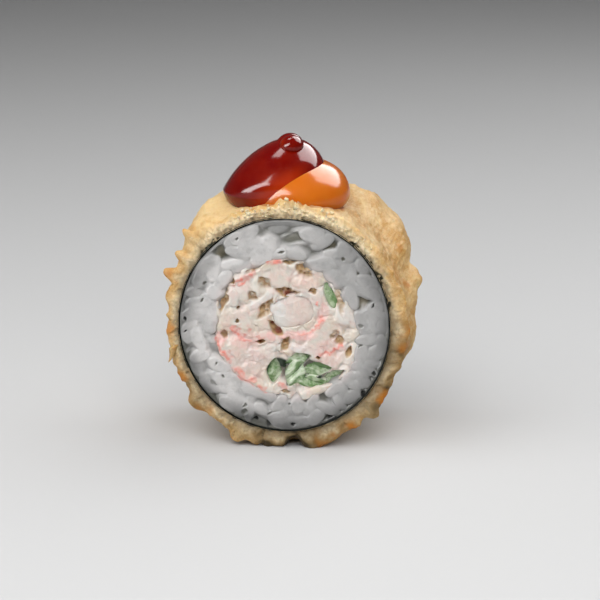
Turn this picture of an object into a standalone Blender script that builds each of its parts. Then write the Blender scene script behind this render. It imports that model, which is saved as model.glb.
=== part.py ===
"""A piece of fried sushi roll that stands on its crust, with two sauces in a dollop on top.

The roll's axis runs along Y, at AXIS_HEIGHT over the surface that the piece rests on. Both ends are
cut faces. From outside in it has a crust of fried crumbs, a sheet of nori, a ring of rice, and a
filling of shredded crab stick with one whole stick and strips of cucumber. Lengths are in metres.
"""

import itertools
import math

import bmesh
import bpy
import numpy as np
from mathutils import Matrix

MM = 0.001

# The roll
ROLL_DEPTH = 27.0 * MM
AXIS_HEIGHT = 25.9 * MM
NORI_RADIUS = 22.0 * MM
NORI_OVAL = 0.51 * MM
NORI_LEAN = 0.08 * MM
NORI_SHIFT = 0.25 * MM
NORI_SHIFT_ANGLE = math.radians(135.0)
NORI_THICKNESS = 0.5 * MM
NORI_SETBACK = 0.2 * MM
CLEARANCE = 0.3 * MM
CUTTER_WIDTH = 6.0 * MM
OUTLINE_POINTS = 64

# The crust
CRUST_THICKNESS = 2.65 * MM
CRUST_LEAN = 0.5 * MM
CRUST_LEAN_ANGLE = math.radians(-35.0)
CRUST_STEPS_ROUND = 100
CRUST_STEPS_ALONG = 11
CRAG_SIZE = 3.4 * MM
CRAG_HEIGHT = 0.45 * MM
CRAG_SHARPNESS = 2.4
CRAG_BELT = (1.0 * MM, 4.5 * MM)
CRAG_SHARE_PAST_BELT = 0.15
SWELL_SIZE = 6.0 * MM
SWELL_HEIGHT = 0.35 * MM
FINE_CRAG_SIZE = 1.7 * MM
FINE_CRAG_HEIGHT = 0.18 * MM
CUT_ROUGHNESS = 0.15 * MM
# Its section at the cuts: the share of the thickness that is flat, two points round the corner as
# (share of thickness, share of depth), and the share of depth where the outside starts
CUT_SHARE = 0.4
CRUST_CORNER = ((0.80, 0.012), (0.97, 0.045))
CRUST_EDGE = 0.1
# Single crags: angle in degrees, share of the depth from the front cut, height and width
SINGLE_CRAGS = (
    (136.5, 0.04, 2.4 * MM, 0.85 * MM),
    (146.0, 0.05, 1.4 * MM, 0.90 * MM),
    (155.8, 0.05, 2.7 * MM, 1.25 * MM),
    (165.0, 0.05, 0.6 * MM, 1.80 * MM),
    (181.5, 0.05, 0.5 * MM, 1.30 * MM),
    (194.0, 0.05, -0.7 * MM, 1.60 * MM),
    (207.0, 0.05, 0.4 * MM, 1.20 * MM),
    (222.5, 0.05, 1.9 * MM, 2.00 * MM),
    (247.3, 0.05, 2.0 * MM, 1.70 * MM),
    (255.5, 0.05, 0.9 * MM, 1.60 * MM),
    (261.5, 0.04, 1.2 * MM, 0.80 * MM),
    (274.0, 0.05, -2.1 * MM, 1.50 * MM),
    (281.5, 0.05, 1.3 * MM, 1.50 * MM),
    (287.5, 0.05, 1.2 * MM, 1.60 * MM),
    (293.0, 0.05, 0.5 * MM, 1.10 * MM),
    (304.5, 0.05, 0.5 * MM, 1.10 * MM),
    (314.0, 0.04, 1.5 * MM, 1.20 * MM),
    (334.0, 0.05, -0.6 * MM, 2.20 * MM),
    (350.0, 0.45, 2.0 * MM, 4.50 * MM),
    (8.0, 0.50, 1.9 * MM, 3.20 * MM),
    (15.0, 0.60, 2.5 * MM, 2.00 * MM),
    (29.5, 0.75, 2.9 * MM, 4.60 * MM),
    (45.0, 0.85, 2.7 * MM, 4.60 * MM),
    (59.0, 0.85, 2.0 * MM, 3.80 * MM),
    (122.0, 0.65, 2.8 * MM, 4.60 * MM),
    (132.0, 0.30, 3.0 * MM, 4.50 * MM),
    (146.0, 0.20, 0.8 * MM, 3.00 * MM),
    (270.0, 0.55, 1.2 * MM, 7.00 * MM),
)
CRAG_STRETCH = 0.6

# The rice
RICE_FACE_RECESS = 1.3 * MM
GRAIN_LENGTH = 7.0 * MM
GRAIN_WIDTH = 3.0 * MM
GRAIN_COUNT = 50
GRAIN_SIDES = 5
GRAIN_RINGS = 4
GRAIN_RISE = -0.05 * MM
GRAIN_SPACING = 0.92
SHORTEST_GRAIN = 0.5
THINNEST_GRAIN = 0.75
GRAIN_TILT = 0.22
GRAIN_UNEVENNESS = 0.3 * MM
SETTLING_STEPS = 160
SETTLING_PUSH = 0.3
# The turn from each grain to the next before they settle, which spreads them evenly
GOLDEN_SHARE = 0.618034

# The filling
FILLING_RADIUS = 14.05 * MM
FILLING_BULGE = 0.7 * MM
FILLING_BULGE_ANGLE = math.radians(-38.0)
FILLING_BULGE_SHARPNESS = 6.0
FILLING_LEAN = 0.55 * MM
FILLING_DROP = 0.50 * MM
# Waves round the filling's outline: how many, height, and where they start
FILLING_WAVES = ((5, 0.18 * MM, 2.1), (8, 0.12 * MM, 0.0))
CORE_INSET = 0.05 * MM
CRAB_FACE_RECESS = 1.5 * MM
SHRED_LENGTH = 7.0 * MM
SHRED_WIDTH = 3.2 * MM
SHRED_COUNT = 24
STICK_CENTRE = (1.5 * MM, 3.1 * MM)
STICK_HALF_WIDTH = 4.5 * MM
STICK_HALF_HEIGHT = 3.5 * MM
STICK_LEAN = math.radians(12.0)
STICK_SQUARENESS = 2.6
STICK_SECTION_POINTS = 16
STICK_PROUD = 0.9 * MM

# Each cucumber strip's section: centre across and above the axis, half length, half width, lean
CUCUMBER_STRIPS = (
    (9.0 * MM, 6.6 * MM, 2.8 * MM, 0.85 * MM, -73.0),
    (-2.35 * MM, -9.6 * MM, 2.8 * MM, 1.35 * MM, 84.0),
    (2.6 * MM, -6.6 * MM, 2.40 * MM, 0.85 * MM, 9.0),
    (1.6 * MM, -9.9 * MM, 2.05 * MM, 1.55 * MM, 52.0),
    (6.4 * MM, -8.85 * MM, 2.5 * MM, 1.20 * MM, 6.0),
    (4.6 * MM, -12.0 * MM, 1.75 * MM, 1.10 * MM, -6.0),
    (9.2 * MM, -10.7 * MM, 2.75 * MM, 0.60 * MM, 30.0),
)
CUCUMBER_SECTION_POINTS = 10
CUCUMBER_SQUARENESS = 3.0
CUCUMBER_PROUD = (0.5 * MM, 0.1 * MM, 0.4 * MM, 0.7 * MM, 0.3 * MM, 0.6 * MM, 0.0 * MM)

# The sauces. Places across and along are from the roll's middle, and heights are over its axis
ORANGE_CENTRE = (1.6 * MM, -1.2 * MM, 25.1 * MM)
ORANGE_HALF_WIDTH = 10.7 * MM
ORANGE_HALF_DEPTH = 10.3 * MM
ORANGE_RISE = 7.4 * MM
ORANGE_DROP = 5.5 * MM
RED_CENTRE = (-3.1 * MM, 0.7 * MM, 25.4 * MM)
RED_HALF_WIDTH = 10.6 * MM
RED_DEPTH_SHARE = 0.97
RED_RISE = 10.7 * MM
RED_DROP = 6.0 * MM
RED_ROUNDNESS = 1.55
RED_LEAN_ACROSS = 3.3 * MM
RED_LEAN_POWER = 0.9
RED_LEAN_FORWARD = 1.7 * MM
RED_LEAN_START = -2.5 * MM
RED_LEAN_HEIGHT = 6.0 * MM
RED_TIP = 37.2 * MM
RED_KNOB_RADIUS = 2.9 * MM
SAUCE_FOOT = 19.9 * MM
SAUCE_SEGMENTS = 26
SAUCE_RINGS = 12

MERGE_DISTANCE = 0.002 * MM
SHARP_ANGLE = math.radians(50.0)


def clear_scene():
    """Removes what is in the scene when the script starts."""
    for thing in list(bpy.data.objects):
        bpy.data.objects.remove(thing, do_unlink=True)


def new_collection(name, hidden=False):
    """A collection in the scene; a hidden one holds cutters."""
    made = bpy.data.collections.new(name)
    made.hide_render = hidden
    bpy.context.scene.collection.children.link(made)
    return made


def food_material(name, colour, roughness):
    """A plain surface of one colour."""
    made = bpy.data.materials.new(name)
    made.use_nodes = True
    shader = made.node_tree.nodes["Principled BSDF"]
    shader.inputs["Base Color"].default_value = (*colour, 1.0)
    shader.inputs["Roughness"].default_value = roughness
    shader.inputs["Metallic"].default_value = 0.0
    return made


def section_radius(angle):
    """The nori's outer radius at an angle from +X: an oval that is taller than wide and leans."""
    oval = NORI_OVAL * np.cos(2 * angle) + NORI_LEAN * np.sin(2 * angle)
    return NORI_RADIUS - oval + NORI_SHIFT * np.cos(angle - NORI_SHIFT_ANGLE)


def filling_radius(angle):
    """The filling's outer radius: a wavy round that bulges low on the right, where the cucumber is."""
    radius = FILLING_RADIUS - FILLING_LEAN * np.sin(2 * angle) - FILLING_DROP * np.sin(angle)
    for count, height, start in FILLING_WAVES:
        radius = radius + height * np.sin(count * angle + start)
    closeness = np.cos(angle - FILLING_BULGE_ANGLE) - 1
    return radius + FILLING_BULGE * np.exp(FILLING_BULGE_SHARPNESS * closeness)


def crust_thickness(angle):
    """The crust over the nori: thinner on the left and thicker low on the right."""
    return CRUST_THICKNESS + CRUST_LEAN * np.cos(angle - CRUST_LEAN_ANGLE)


def smoothstep(value, low, high):
    """Rises smoothly from 0 at low to 1 at high, or falls where high is the lower one."""
    share = np.clip((value - low) / (high - low), 0, 1)
    return share * share * (3 - 2 * share)


def lattice_value(cells, seed):
    """A fixed random number from -1 to 1 for each whole-numbered cell."""
    mixed = (cells[..., 0] * 73856093) ^ (cells[..., 1] * 19349663) ^ (cells[..., 2] * 83492791)
    mixed = (mixed ^ (seed * 2654435761)) & 0xFFFFFFFF
    mixed = ((mixed ^ (mixed >> 16)) * 73244475) & 0xFFFFFFFF
    mixed = ((mixed ^ (mixed >> 16)) * 73244475) & 0xFFFFFFFF
    return (mixed ^ (mixed >> 16)) / 0x7FFFFFFF - 1.0


def smooth_noise(points, size, seed):
    """Smooth noise from -1 to 1, with bumps of that size: lattice values blended by smoothstep."""
    cells = points / size
    low = np.floor(cells).astype(np.int64)
    share = smoothstep(cells - low, 0, 1)
    total = np.zeros(points.shape[:-1])
    for corner in itertools.product((0, 1), repeat=3):
        weight = np.prod(np.where(np.array(corner) == 1, share, 1 - share), axis=-1)
        total += weight * lattice_value(low + np.array(corner), seed)
    return total


def place(name, thing, material, collection):
    """Names an object, gives it its material and puts it in its collection alone."""
    thing.name = name
    thing.data.materials.clear()
    thing.data.materials.append(material)
    for holder in list(thing.users_collection):
        holder.objects.unlink(thing)
    collection.objects.link(thing)
    return thing


def outline_points(radius_at, inset=0.0):
    """Points (across, up) round the axis, at the radius that a function of the angle gives."""
    angle = np.arange(OUTLINE_POINTS) * 2 * math.pi / OUTLINE_POINTS
    radius = radius_at(angle) - inset
    return np.stack([radius * np.cos(angle), radius * np.sin(angle)], axis=1)


def strip_outline(centre, half_length, half_width, lean, squareness, count):
    """Points round a rounded bar that leans: a superellipse turned by lean radians."""
    angle = (np.arange(count) + 0.5) * 2 * math.pi / count
    power = 2.0 / squareness
    along = half_length * np.sign(np.cos(angle)) * np.abs(np.cos(angle)) ** power
    across = half_width * np.sign(np.sin(angle)) * np.abs(np.sin(angle)) ** power
    x = centre[0] + along * math.cos(lean) - across * math.sin(lean)
    z = centre[1] + along * math.sin(lean) + across * math.cos(lean)
    return np.stack([x, z], axis=1)


def bar(name, outlines, front, back, material, collection):
    """A bar along the roll's axis: flat outlines, the inner ones as holes, extruded from front to back.

    The outlines are in a 2D curve that is filled, then made a mesh and stood up, so that it faces -Y.
    """
    curve = bpy.data.curves.new(name, "CURVE")
    curve.dimensions = "2D"
    curve.fill_mode = "BOTH"
    curve.extrude = (back - front) / 2
    for outline in outlines:
        spline = curve.splines.new("POLY")
        spline.points.add(len(outline) - 1)
        for point, (x, z) in zip(spline.points, outline):
            point.co = (x, z, 0.0, 1.0)
        spline.use_cyclic_u = True
    drawn = bpy.data.objects.new(name + "_outline", curve)
    collection.objects.link(drawn)
    upright = Matrix.Rotation(math.pi / 2, 4, "X")
    stood = Matrix.Translation((0, (front + back) / 2, AXIS_HEIGHT)) @ upright
    drawn.matrix_world = stood
    bpy.context.view_layer.update()
    evaluated = drawn.evaluated_get(bpy.context.evaluated_depsgraph_get())
    mesh = bpy.data.meshes.new_from_object(evaluated)
    mesh.transform(stood)
    bpy.data.objects.remove(drawn)
    close_up(mesh)
    solid = bpy.data.objects.new(name, mesh)
    return place(name, solid, material, collection)


def close_up(mesh):
    """Joins doubled points, turns the faces outwards and splits each four-sided one the same way."""
    work = bmesh.new()
    work.from_mesh(mesh)
    bmesh.ops.remove_doubles(work, verts=work.verts, dist=MERGE_DISTANCE)
    bmesh.ops.recalc_face_normals(work, faces=work.faces)
    bmesh.ops.triangulate(work, faces=work.faces, quad_method="FIXED")
    work.to_mesh(mesh)
    work.free()


def apply_boolean(solid, operation, others):
    """Joins a collection of solids to one, or cuts them from it, and applies the result."""
    modifier = solid.modifiers.new(operation.lower(), "BOOLEAN")
    modifier.operation = operation
    modifier.operand_type = "COLLECTION"
    modifier.collection = others
    modifier.solver = "MANIFOLD"
    bpy.context.view_layer.update()
    evaluated = solid.evaluated_get(bpy.context.evaluated_depsgraph_get())
    mesh = bpy.data.meshes.new_from_object(evaluated)
    solid.modifiers.clear()
    solid.data = mesh
    for used in list(others.objects):
        bpy.data.objects.remove(used, do_unlink=True)
    bpy.data.collections.remove(others)


def keep_largest(solid):
    """Drops the loose scraps that a cut leaves, and keeps the largest piece."""
    work = bmesh.new()
    work.from_mesh(solid.data)
    work.verts.ensure_lookup_table()
    groups = []
    seen = set()
    for start in work.verts:
        if start in seen:
            continue
        seen.add(start)
        group, waiting = [start], [start]
        while waiting:
            for edge in waiting.pop().link_edges:
                for vertex in edge.verts:
                    if vertex not in seen:
                        seen.add(vertex)
                        group.append(vertex)
                        waiting.append(vertex)
        groups.append(group)
    groups.sort(key=len)
    for group in groups[:-1]:
        bmesh.ops.delete(work, geom=group, context="VERTS")
    work.to_mesh(solid.data)
    work.free()


def crust_section():
    """The crust's section as (share of thickness, share of depth from front to back), once round.

    It runs out over the front cut, along the outside, in over the back cut and back along the nori.
    """
    outside = [(1.0, share) for share in np.linspace(CRUST_EDGE, 1 - CRUST_EDGE, CRUST_STEPS_ALONG)]
    front = [(0.0, 0.0), (CUT_SHARE, 0.0), *CRUST_CORNER]
    back = [(share, 1.0 - along) for share, along in reversed(front)]
    return np.array(front + outside + back)


def crust_relief(angle, along, radius):
    """How far crags lift the crust's outside.

    Low ridges stand near the cuts, where a broad noise is near zero. A swell and a finer noise roughen
    it all over, and each single crag is a bell of the cube of the distance from its middle.
    """
    points = np.stack([radius * np.cos(angle), along, radius * np.sin(angle)], axis=-1)
    belt = smoothstep(ROLL_DEPTH / 2 - np.abs(along), CRAG_BELT[1], CRAG_BELT[0])
    ridge = np.clip(1 - CRAG_SHARPNESS * np.abs(smooth_noise(points, CRAG_SIZE, 11)), 0, 1)
    lift = CRAG_HEIGHT * ridge * (CRAG_SHARE_PAST_BELT + (1 - CRAG_SHARE_PAST_BELT) * belt)
    lift += SWELL_HEIGHT * smooth_noise(points, SWELL_SIZE, 13)
    lift += FINE_CRAG_HEIGHT * smooth_noise(points, FINE_CRAG_SIZE, 12)
    for degrees, share, height, width in SINGLE_CRAGS:
        off_angle = (angle - math.radians(degrees) + math.pi) % (2 * math.pi) - math.pi
        away = along - (share - 0.5) * ROLL_DEPTH
        distance = np.hypot(off_angle * radius, CRAG_STRETCH * away) / width
        lift += height * np.exp(-(distance**3))
    return lift


def crust_points(grow=0.0):
    """The crust's points on a grid, angle by section point. A grown crust stands off the real one."""
    section = crust_section()
    angle = np.arange(CRUST_STEPS_ROUND) * 2 * math.pi / CRUST_STEPS_ROUND
    angle, share = np.meshgrid(angle, section[:, 0], indexing="ij")
    along = np.broadcast_to((section[:, 1] - 0.5) * ROLL_DEPTH, angle.shape)
    inner = section_radius(angle) + CLEARANCE
    outer = section_radius(angle) + crust_thickness(angle)
    edge = np.clip((share - CUT_SHARE) / (1 - CUT_SHARE), 0, 1)
    radius = inner + (outer - inner) * share
    lift = crust_relief(angle, along, radius) * edge
    ends = np.abs(along) > ROLL_DEPTH / 2 - CUT_ROUGHNESS
    points = np.stack([radius * np.cos(angle), along, radius * np.sin(angle)], axis=-1)
    hollows = CUT_ROUGHNESS * np.abs(smooth_noise(points, FINE_CRAG_SIZE, 13))
    along = along - np.where(ends, np.sign(along) * hollows * edge, 0.0)
    radius = radius + lift + grow * edge
    points = np.stack([radius * np.cos(angle), along, radius * np.sin(angle) + AXIS_HEIGHT], axis=-1)
    points[..., 2] = np.maximum(points[..., 2], 0.0)
    return points


def crust_solid(name, grow, material, collection):
    """The crust: a torus's closed grid of faces, its points moved to the crust's section and crags."""
    points = crust_points(grow)
    bpy.ops.mesh.primitive_torus_add(major_segments=points.shape[0], minor_segments=points.shape[1])
    solid = bpy.context.object
    solid.data.vertices.foreach_set("co", points.astype(np.float32).ravel())
    solid.data.update()
    close_up(solid.data)
    return place(name, solid, material, collection)


def settle(seed, count, length, width, inner_at, outer_at):
    """Lays grains flat on a cut face and pushes them apart until they fit between two outlines.

    Each grain is three beads in line. Beads of different grains push each other apart, the outlines
    push beads back between them, and the pushes move and turn the grain.
    Returns the grains' centres, turns and half lengths.
    """
    draw = np.random.default_rng(seed)
    around = 2 * math.pi * ((np.arange(count) * GOLDEN_SHARE + draw.uniform(0, 0.1, count)) % 1.0)
    low, high = inner_at(around), outer_at(around)
    out = np.sqrt(low**2 + (high**2 - low**2) * (np.arange(count) + draw.uniform(0, 1, count)) / count)
    centre = np.stack([out * np.cos(around), out * np.sin(around)], axis=1)
    turn = draw.uniform(0, math.pi, count)
    half = length / 2 * draw.uniform(SHORTEST_GRAIN, 1.0, count)
    reach = np.maximum(half - width / 2, 0.0)
    beads = np.array([-1.0, 0.0, 1.0])
    owner = np.repeat(np.arange(count), len(beads))
    others = owner[:, None] != owner[None, :]
    for _ in range(SETTLING_STEPS):
        axis = np.stack([np.cos(turn), np.sin(turn)], axis=1)
        at = (centre[:, None] + axis[:, None] * (reach[:, None] * beads)[..., None]).reshape(-1, 2)
        apart = at[:, None] - at[None, :]
        distance = np.linalg.norm(apart, axis=2) + 1e-9
        overlap = np.where(others, np.clip(GRAIN_SPACING * width - distance, 0, None), 0.0)
        push = SETTLING_PUSH * (apart / distance[..., None] * overlap[..., None]).sum(axis=1)
        radius = np.linalg.norm(at, axis=1)
        angle = np.arctan2(at[:, 1], at[:, 0])
        inward = np.clip(radius + width / 2 - outer_at(angle), 0, None)
        outward = np.clip(inner_at(angle) + width / 2 - radius, 0, None)
        push += at / radius[:, None] * (outward - inward)[:, None]
        push = push.reshape(count, len(beads), 2)
        centre = centre + push.mean(axis=1)
        side = np.stack([-axis[:, 1], axis[:, 0]], axis=1)
        twist = ((push * side[:, None]).sum(axis=2) * beads).sum(axis=1)
        turn = turn + twist / np.maximum(2 * reach, width / 2)
    return centre, turn, half


def lumps(name, grains, width, face, rise, draw, material, collection):
    """Puts an ellipsoid on a cut face for each settled grain, tilted and sunk to half its depth."""
    outward = math.copysign(1.0, face)
    for i, ((x, z), turn, half) in enumerate(zip(*grains)):
        work = bmesh.new()
        bmesh.ops.create_uvsphere(work, u_segments=GRAIN_SIDES, v_segments=GRAIN_RINGS, radius=1.0)
        shape = Matrix.Diagonal((width / 2, width / 2 * draw.uniform(THINNEST_GRAIN, 1.0), half, 1.0))
        laid = Matrix.Rotation(math.pi / 2, 4, "Y")
        spun = Matrix.Rotation(draw.uniform(0, math.pi), 4, "Z")
        tilted = Matrix.Rotation(draw.uniform(-GRAIN_TILT, GRAIN_TILT), 4, "Z")
        turned = Matrix.Rotation(-turn, 4, "Y")
        lift = face + outward * (rise + draw.uniform(-GRAIN_UNEVENNESS, GRAIN_UNEVENNESS))
        at = Matrix.Translation((x, lift, z + AXIS_HEIGHT))
        bmesh.ops.transform(work, matrix=at @ turned @ tilted @ laid @ shape @ spun, verts=work.verts)
        mesh = bpy.data.meshes.new(f"{name}_{i}")
        work.to_mesh(mesh)
        work.free()
        place(mesh.name, bpy.data.objects.new(mesh.name, mesh), material, collection)


def rice_solid(material, food):
    """The rice: a ring with grains fused on both cut faces, cut clear of the nori and the filling."""
    face = ROLL_DEPTH / 2 - RICE_FACE_RECESS

    def outer_at(angle):
        return section_radius(angle) - NORI_THICKNESS - CLEARANCE

    ring = [outline_points(outer_at, CORE_INSET), outline_points(filling_radius, -CORE_INSET)]
    rice = bar("rice", ring, -face, face, material, food)
    grains = new_collection("grains")
    draw = np.random.default_rng(5)
    for seed, side in ((21, -face), (22, face)):
        laid = settle(seed, GRAIN_COUNT, GRAIN_LENGTH, GRAIN_WIDTH, filling_radius, outer_at)
        lumps(f"grain{seed}", laid, GRAIN_WIDTH, side, GRAIN_RISE, draw, material, grains)
    apply_boolean(rice, "UNION", grains)
    cutters = new_collection("rice_cutters", hidden=True)
    long = ROLL_DEPTH
    bar("filling_space", [outline_points(filling_radius)], -long, long, material, cutters)
    outside = [outline_points(outer_at, -CUTTER_WIDTH), outline_points(outer_at)]
    bar("nori_space", outside, -long, long, material, cutters)
    apply_boolean(rice, "DIFFERENCE", cutters)
    keep_largest(rice)
    return rice


def stick_outline(grow=0.0):
    """The section of the whole crab stick: a leaning rounded bar."""
    half_length, half_width = STICK_HALF_WIDTH + grow, STICK_HALF_HEIGHT + grow
    count = STICK_SECTION_POINTS
    return strip_outline(STICK_CENTRE, half_length, half_width, STICK_LEAN, STICK_SQUARENESS, count)


def crab_solid(material, food):
    """The shredded crab: a core with shreds fused on both faces, cut clear of stick and cucumber."""
    face = ROLL_DEPTH / 2 - CRAB_FACE_RECESS

    def outer_at(angle):
        return filling_radius(angle) - CLEARANCE

    def nothing_at(angle):
        return np.zeros_like(angle)

    crab = bar("crab_salad", [outline_points(outer_at, CORE_INSET)], -face, face, material, food)
    shreds = new_collection("shreds")
    draw = np.random.default_rng(6)
    for seed, side in ((31, -face), (32, face)):
        laid = settle(seed, SHRED_COUNT, SHRED_LENGTH, SHRED_WIDTH, nothing_at, outer_at)
        lumps(f"shred{seed}", laid, SHRED_WIDTH, side, GRAIN_RISE, draw, material, shreds)
    apply_boolean(crab, "UNION", shreds)
    cutters = new_collection("crab_cutters", hidden=True)
    long = ROLL_DEPTH
    outside = [outline_points(outer_at, -CUTTER_WIDTH), outline_points(outer_at)]
    bar("rice_space", outside, -long, long, material, cutters)
    bar("stick_space", [stick_outline(CLEARANCE)], -long, long, material, cutters)
    for i, strip in enumerate(CUCUMBER_STRIPS):
        bar(f"strip_space_{i + 1}", [cucumber_outline(strip, CLEARANCE)], -long, long, material, cutters)
    apply_boolean(crab, "DIFFERENCE", cutters)
    keep_largest(crab)
    return crab


def cucumber_outline(strip, grow=0.0):
    """The section of one cucumber strip."""
    x, z, half_length, half_width, degrees = strip
    half_length, half_width, lean = half_length + grow, half_width + grow, math.radians(degrees)
    count = CUCUMBER_SECTION_POINTS
    return strip_outline((x, z), half_length, half_width, lean, CUCUMBER_SQUARENESS, count)


def cucumber_solids(material, food):
    """The strips of cucumber, which run from one cut face to the other."""
    for i, (strip, proud) in enumerate(zip(CUCUMBER_STRIPS, CUCUMBER_PROUD)):
        end = ROLL_DEPTH / 2 - CRAB_FACE_RECESS + proud
        bar(f"cucumber_strip_{i + 1}", [cucumber_outline(strip)], -end, end, material, food)


def sauce_grid(name, collection, material):
    """A round mesh of rings and segments whose points a function then moves.

    Returns the object, and each point's turn round it and its rise, from 0 at the foot to 1 at the top.
    """
    bpy.ops.mesh.primitive_uv_sphere_add(segments=SAUCE_SEGMENTS, ring_count=SAUCE_RINGS, radius=1.0)
    solid = place(name, bpy.context.object, material, collection)
    points = np.array([vertex.co for vertex in solid.data.vertices])
    turn = np.arctan2(points[:, 1], points[:, 0])
    rise = 1.0 - np.arccos(np.clip(points[:, 2], -1, 1)) / math.pi
    return solid, turn, rise


def set_points(solid, x, y, z):
    """Moves a mesh's points to these places, z being measured from the roll's axis."""
    points = np.stack([x, y, z + AXIS_HEIGHT], axis=1)
    solid.data.vertices.foreach_set("co", points.astype(np.float32).ravel())
    solid.data.update()


def closing(rise):
    """Closes a sauce's two ends: 1 along it, and 0 at its foot's and its top's very middle."""
    return np.where((rise > 1e-6) & (rise < 1 - 1e-6), 1.0, 0.0)


def orange_points(turn, rise, grow=0.0):
    """The orange sauce: a low mound, an ellipsoid taller above its widest place than below it."""
    top = ORANGE_CENTRE[2] + ORANGE_RISE + grow
    height = SAUCE_FOOT + (top - SAUCE_FOOT) * np.sin(rise * math.pi / 2)
    off = height - ORANGE_CENTRE[2]
    share = np.where(off > 0, off / (ORANGE_RISE + grow), off / ORANGE_DROP)
    spread = np.sqrt(np.clip(1 - share**2, 0, 1)) * closing(rise)
    x = ORANGE_CENTRE[0] + (ORANGE_HALF_WIDTH + grow) * spread * np.cos(turn)
    y = ORANGE_CENTRE[1] + (ORANGE_HALF_DEPTH + grow) * spread * np.sin(turn)
    return x, y, height


def red_points(turn, rise):
    """The red sauce: a drop whose sides slope to a round knob, and which leans over the orange one.

    Its half width at a height is that of its body or of the knob, whichever is more.
    """
    height = SAUCE_FOOT + (RED_TIP - SAUCE_FOOT) * np.sin(rise * math.pi / 2)
    off = height - RED_CENTRE[2]
    share = np.clip(np.where(off > 0, off / RED_RISE, -off / RED_DROP), 0, 1)
    body = RED_HALF_WIDTH * np.sqrt(1 - share ** np.where(off > 0, RED_ROUNDNESS, 2.0))
    knob_off = height - (RED_TIP - RED_KNOB_RADIUS)
    knob = np.sqrt(np.clip(RED_KNOB_RADIUS**2 - knob_off**2, 0, None))
    spread = np.maximum(body, knob) * closing(rise)
    across = RED_LEAN_ACROSS * np.clip(off / RED_RISE, 0, 1) ** RED_LEAN_POWER
    forward = RED_LEAN_FORWARD * smoothstep(off, RED_LEAN_START, RED_LEAN_START + RED_LEAN_HEIGHT)
    x = RED_CENTRE[0] + across + spread * np.cos(turn)
    y = RED_CENTRE[1] - forward + RED_DEPTH_SHARE * spread * np.sin(turn)
    return x, y, height


def sauce_solids(orange, red, food):
    """Both sauces, each cut to stand clear of the crust, and the red one of the orange one."""
    orange_mound, turn, rise = sauce_grid("orange_sauce", food, orange)
    set_points(orange_mound, *orange_points(turn, rise))
    red_drop, turn, rise = sauce_grid("red_sauce", food, red)
    set_points(red_drop, *red_points(turn, rise))
    for sauce in (orange_mound, red_drop):
        cutters = new_collection("sauce_cutters", hidden=True)
        crust_solid("crust_space", CLEARANCE, orange, cutters)
        if sauce is red_drop:
            grown, turn, rise = sauce_grid("orange_space", cutters, orange)
            set_points(grown, *orange_points(turn, rise, CLEARANCE))
        apply_boolean(sauce, "DIFFERENCE", cutters)
        keep_largest(sauce)


def nori_solid(material, food):
    """The nori: a thin sheet wrapped round the rice, a little short of the cut faces."""
    ring = [outline_points(section_radius), outline_points(section_radius, NORI_THICKNESS)]
    end = ROLL_DEPTH / 2 - NORI_SETBACK
    bar("nori", ring, -end, end, material, food)


def main():
    """Builds the food's solids, each with its own material."""
    clear_scene()
    food = new_collection("fried_sushi_roll")
    crust = food_material("fried_crust", (0.68, 0.43, 0.18), 0.75)
    nori = food_material("nori", (0.010, 0.014, 0.010), 0.55)
    rice = food_material("rice", (0.62, 0.62, 0.60), 0.40)
    crab = food_material("crab", (0.70, 0.58, 0.52), 0.45)
    cucumber = food_material("cucumber", (0.28, 0.45, 0.20), 0.35)
    orange = food_material("orange_sauce", (0.65, 0.17, 0.02), 0.15)
    red = food_material("red_sauce", (0.22, 0.006, 0.002), 0.08)
    crust_solid("crust", 0.0, crust, food)
    nori_solid(nori, food)
    rice_solid(rice, food)
    crab_solid(crab, food)
    stick_end = ROLL_DEPTH / 2 - CRAB_FACE_RECESS + STICK_PROUD
    bar("crab_stick", [stick_outline()], -stick_end, stick_end, crab, food)
    cucumber_solids(cucumber, food)
    sauce_solids(orange, red, food)
    for solid in food.objects:
        solid.data.shade_smooth()
        solid.data.set_sharp_from_angle(angle=SHARP_ANGLE)


main()
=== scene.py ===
"""The looks of a piece of fried sushi roll with two sauces on top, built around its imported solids.

The roll's axis runs along Y at a height over the floor, and its two cut faces look to -Y and +Y.
Each layer of the food is a class that builds its meshes: the crust and its crumbs, the nori, the rice,
the crab salad with one whole stick, the cucumber and the dollop of sauces. Lengths are in metres.
"""

import itertools
import logging
import math
from dataclasses import dataclass, field, fields, replace
from enum import Enum
from functools import cached_property
from typing import Callable

import bpy
import numpy as np
from mathutils import Euler, Matrix


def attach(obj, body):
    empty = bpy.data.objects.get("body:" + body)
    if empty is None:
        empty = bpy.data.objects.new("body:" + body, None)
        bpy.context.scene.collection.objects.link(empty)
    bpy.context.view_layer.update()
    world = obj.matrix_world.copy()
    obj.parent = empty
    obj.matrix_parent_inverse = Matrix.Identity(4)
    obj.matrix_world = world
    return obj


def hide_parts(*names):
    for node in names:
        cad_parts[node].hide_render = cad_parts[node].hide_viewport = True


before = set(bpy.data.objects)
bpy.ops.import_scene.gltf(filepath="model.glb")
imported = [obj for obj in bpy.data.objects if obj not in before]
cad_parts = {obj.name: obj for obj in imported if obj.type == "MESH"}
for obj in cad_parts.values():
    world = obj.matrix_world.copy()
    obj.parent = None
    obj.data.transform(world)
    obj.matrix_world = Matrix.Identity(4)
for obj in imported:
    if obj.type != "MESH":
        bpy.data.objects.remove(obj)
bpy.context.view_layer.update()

MM = 0.001
TAU = 2 * math.pi
TINY = 0.01 * MM
LOG = logging.getLogger("fried_sushi_roll")

CELL_PRIMES = (73856093, 19349663, 83492791)
SEED_PRIME = 2654435761
MIXING_PRIME = 73244475
WORD = 0xFFFFFFFF
NOISE_TURN = np.array(((0.36, 0.48, -0.80), (-0.80, 0.60, 0.0), (0.48, 0.64, 0.60)))

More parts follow.
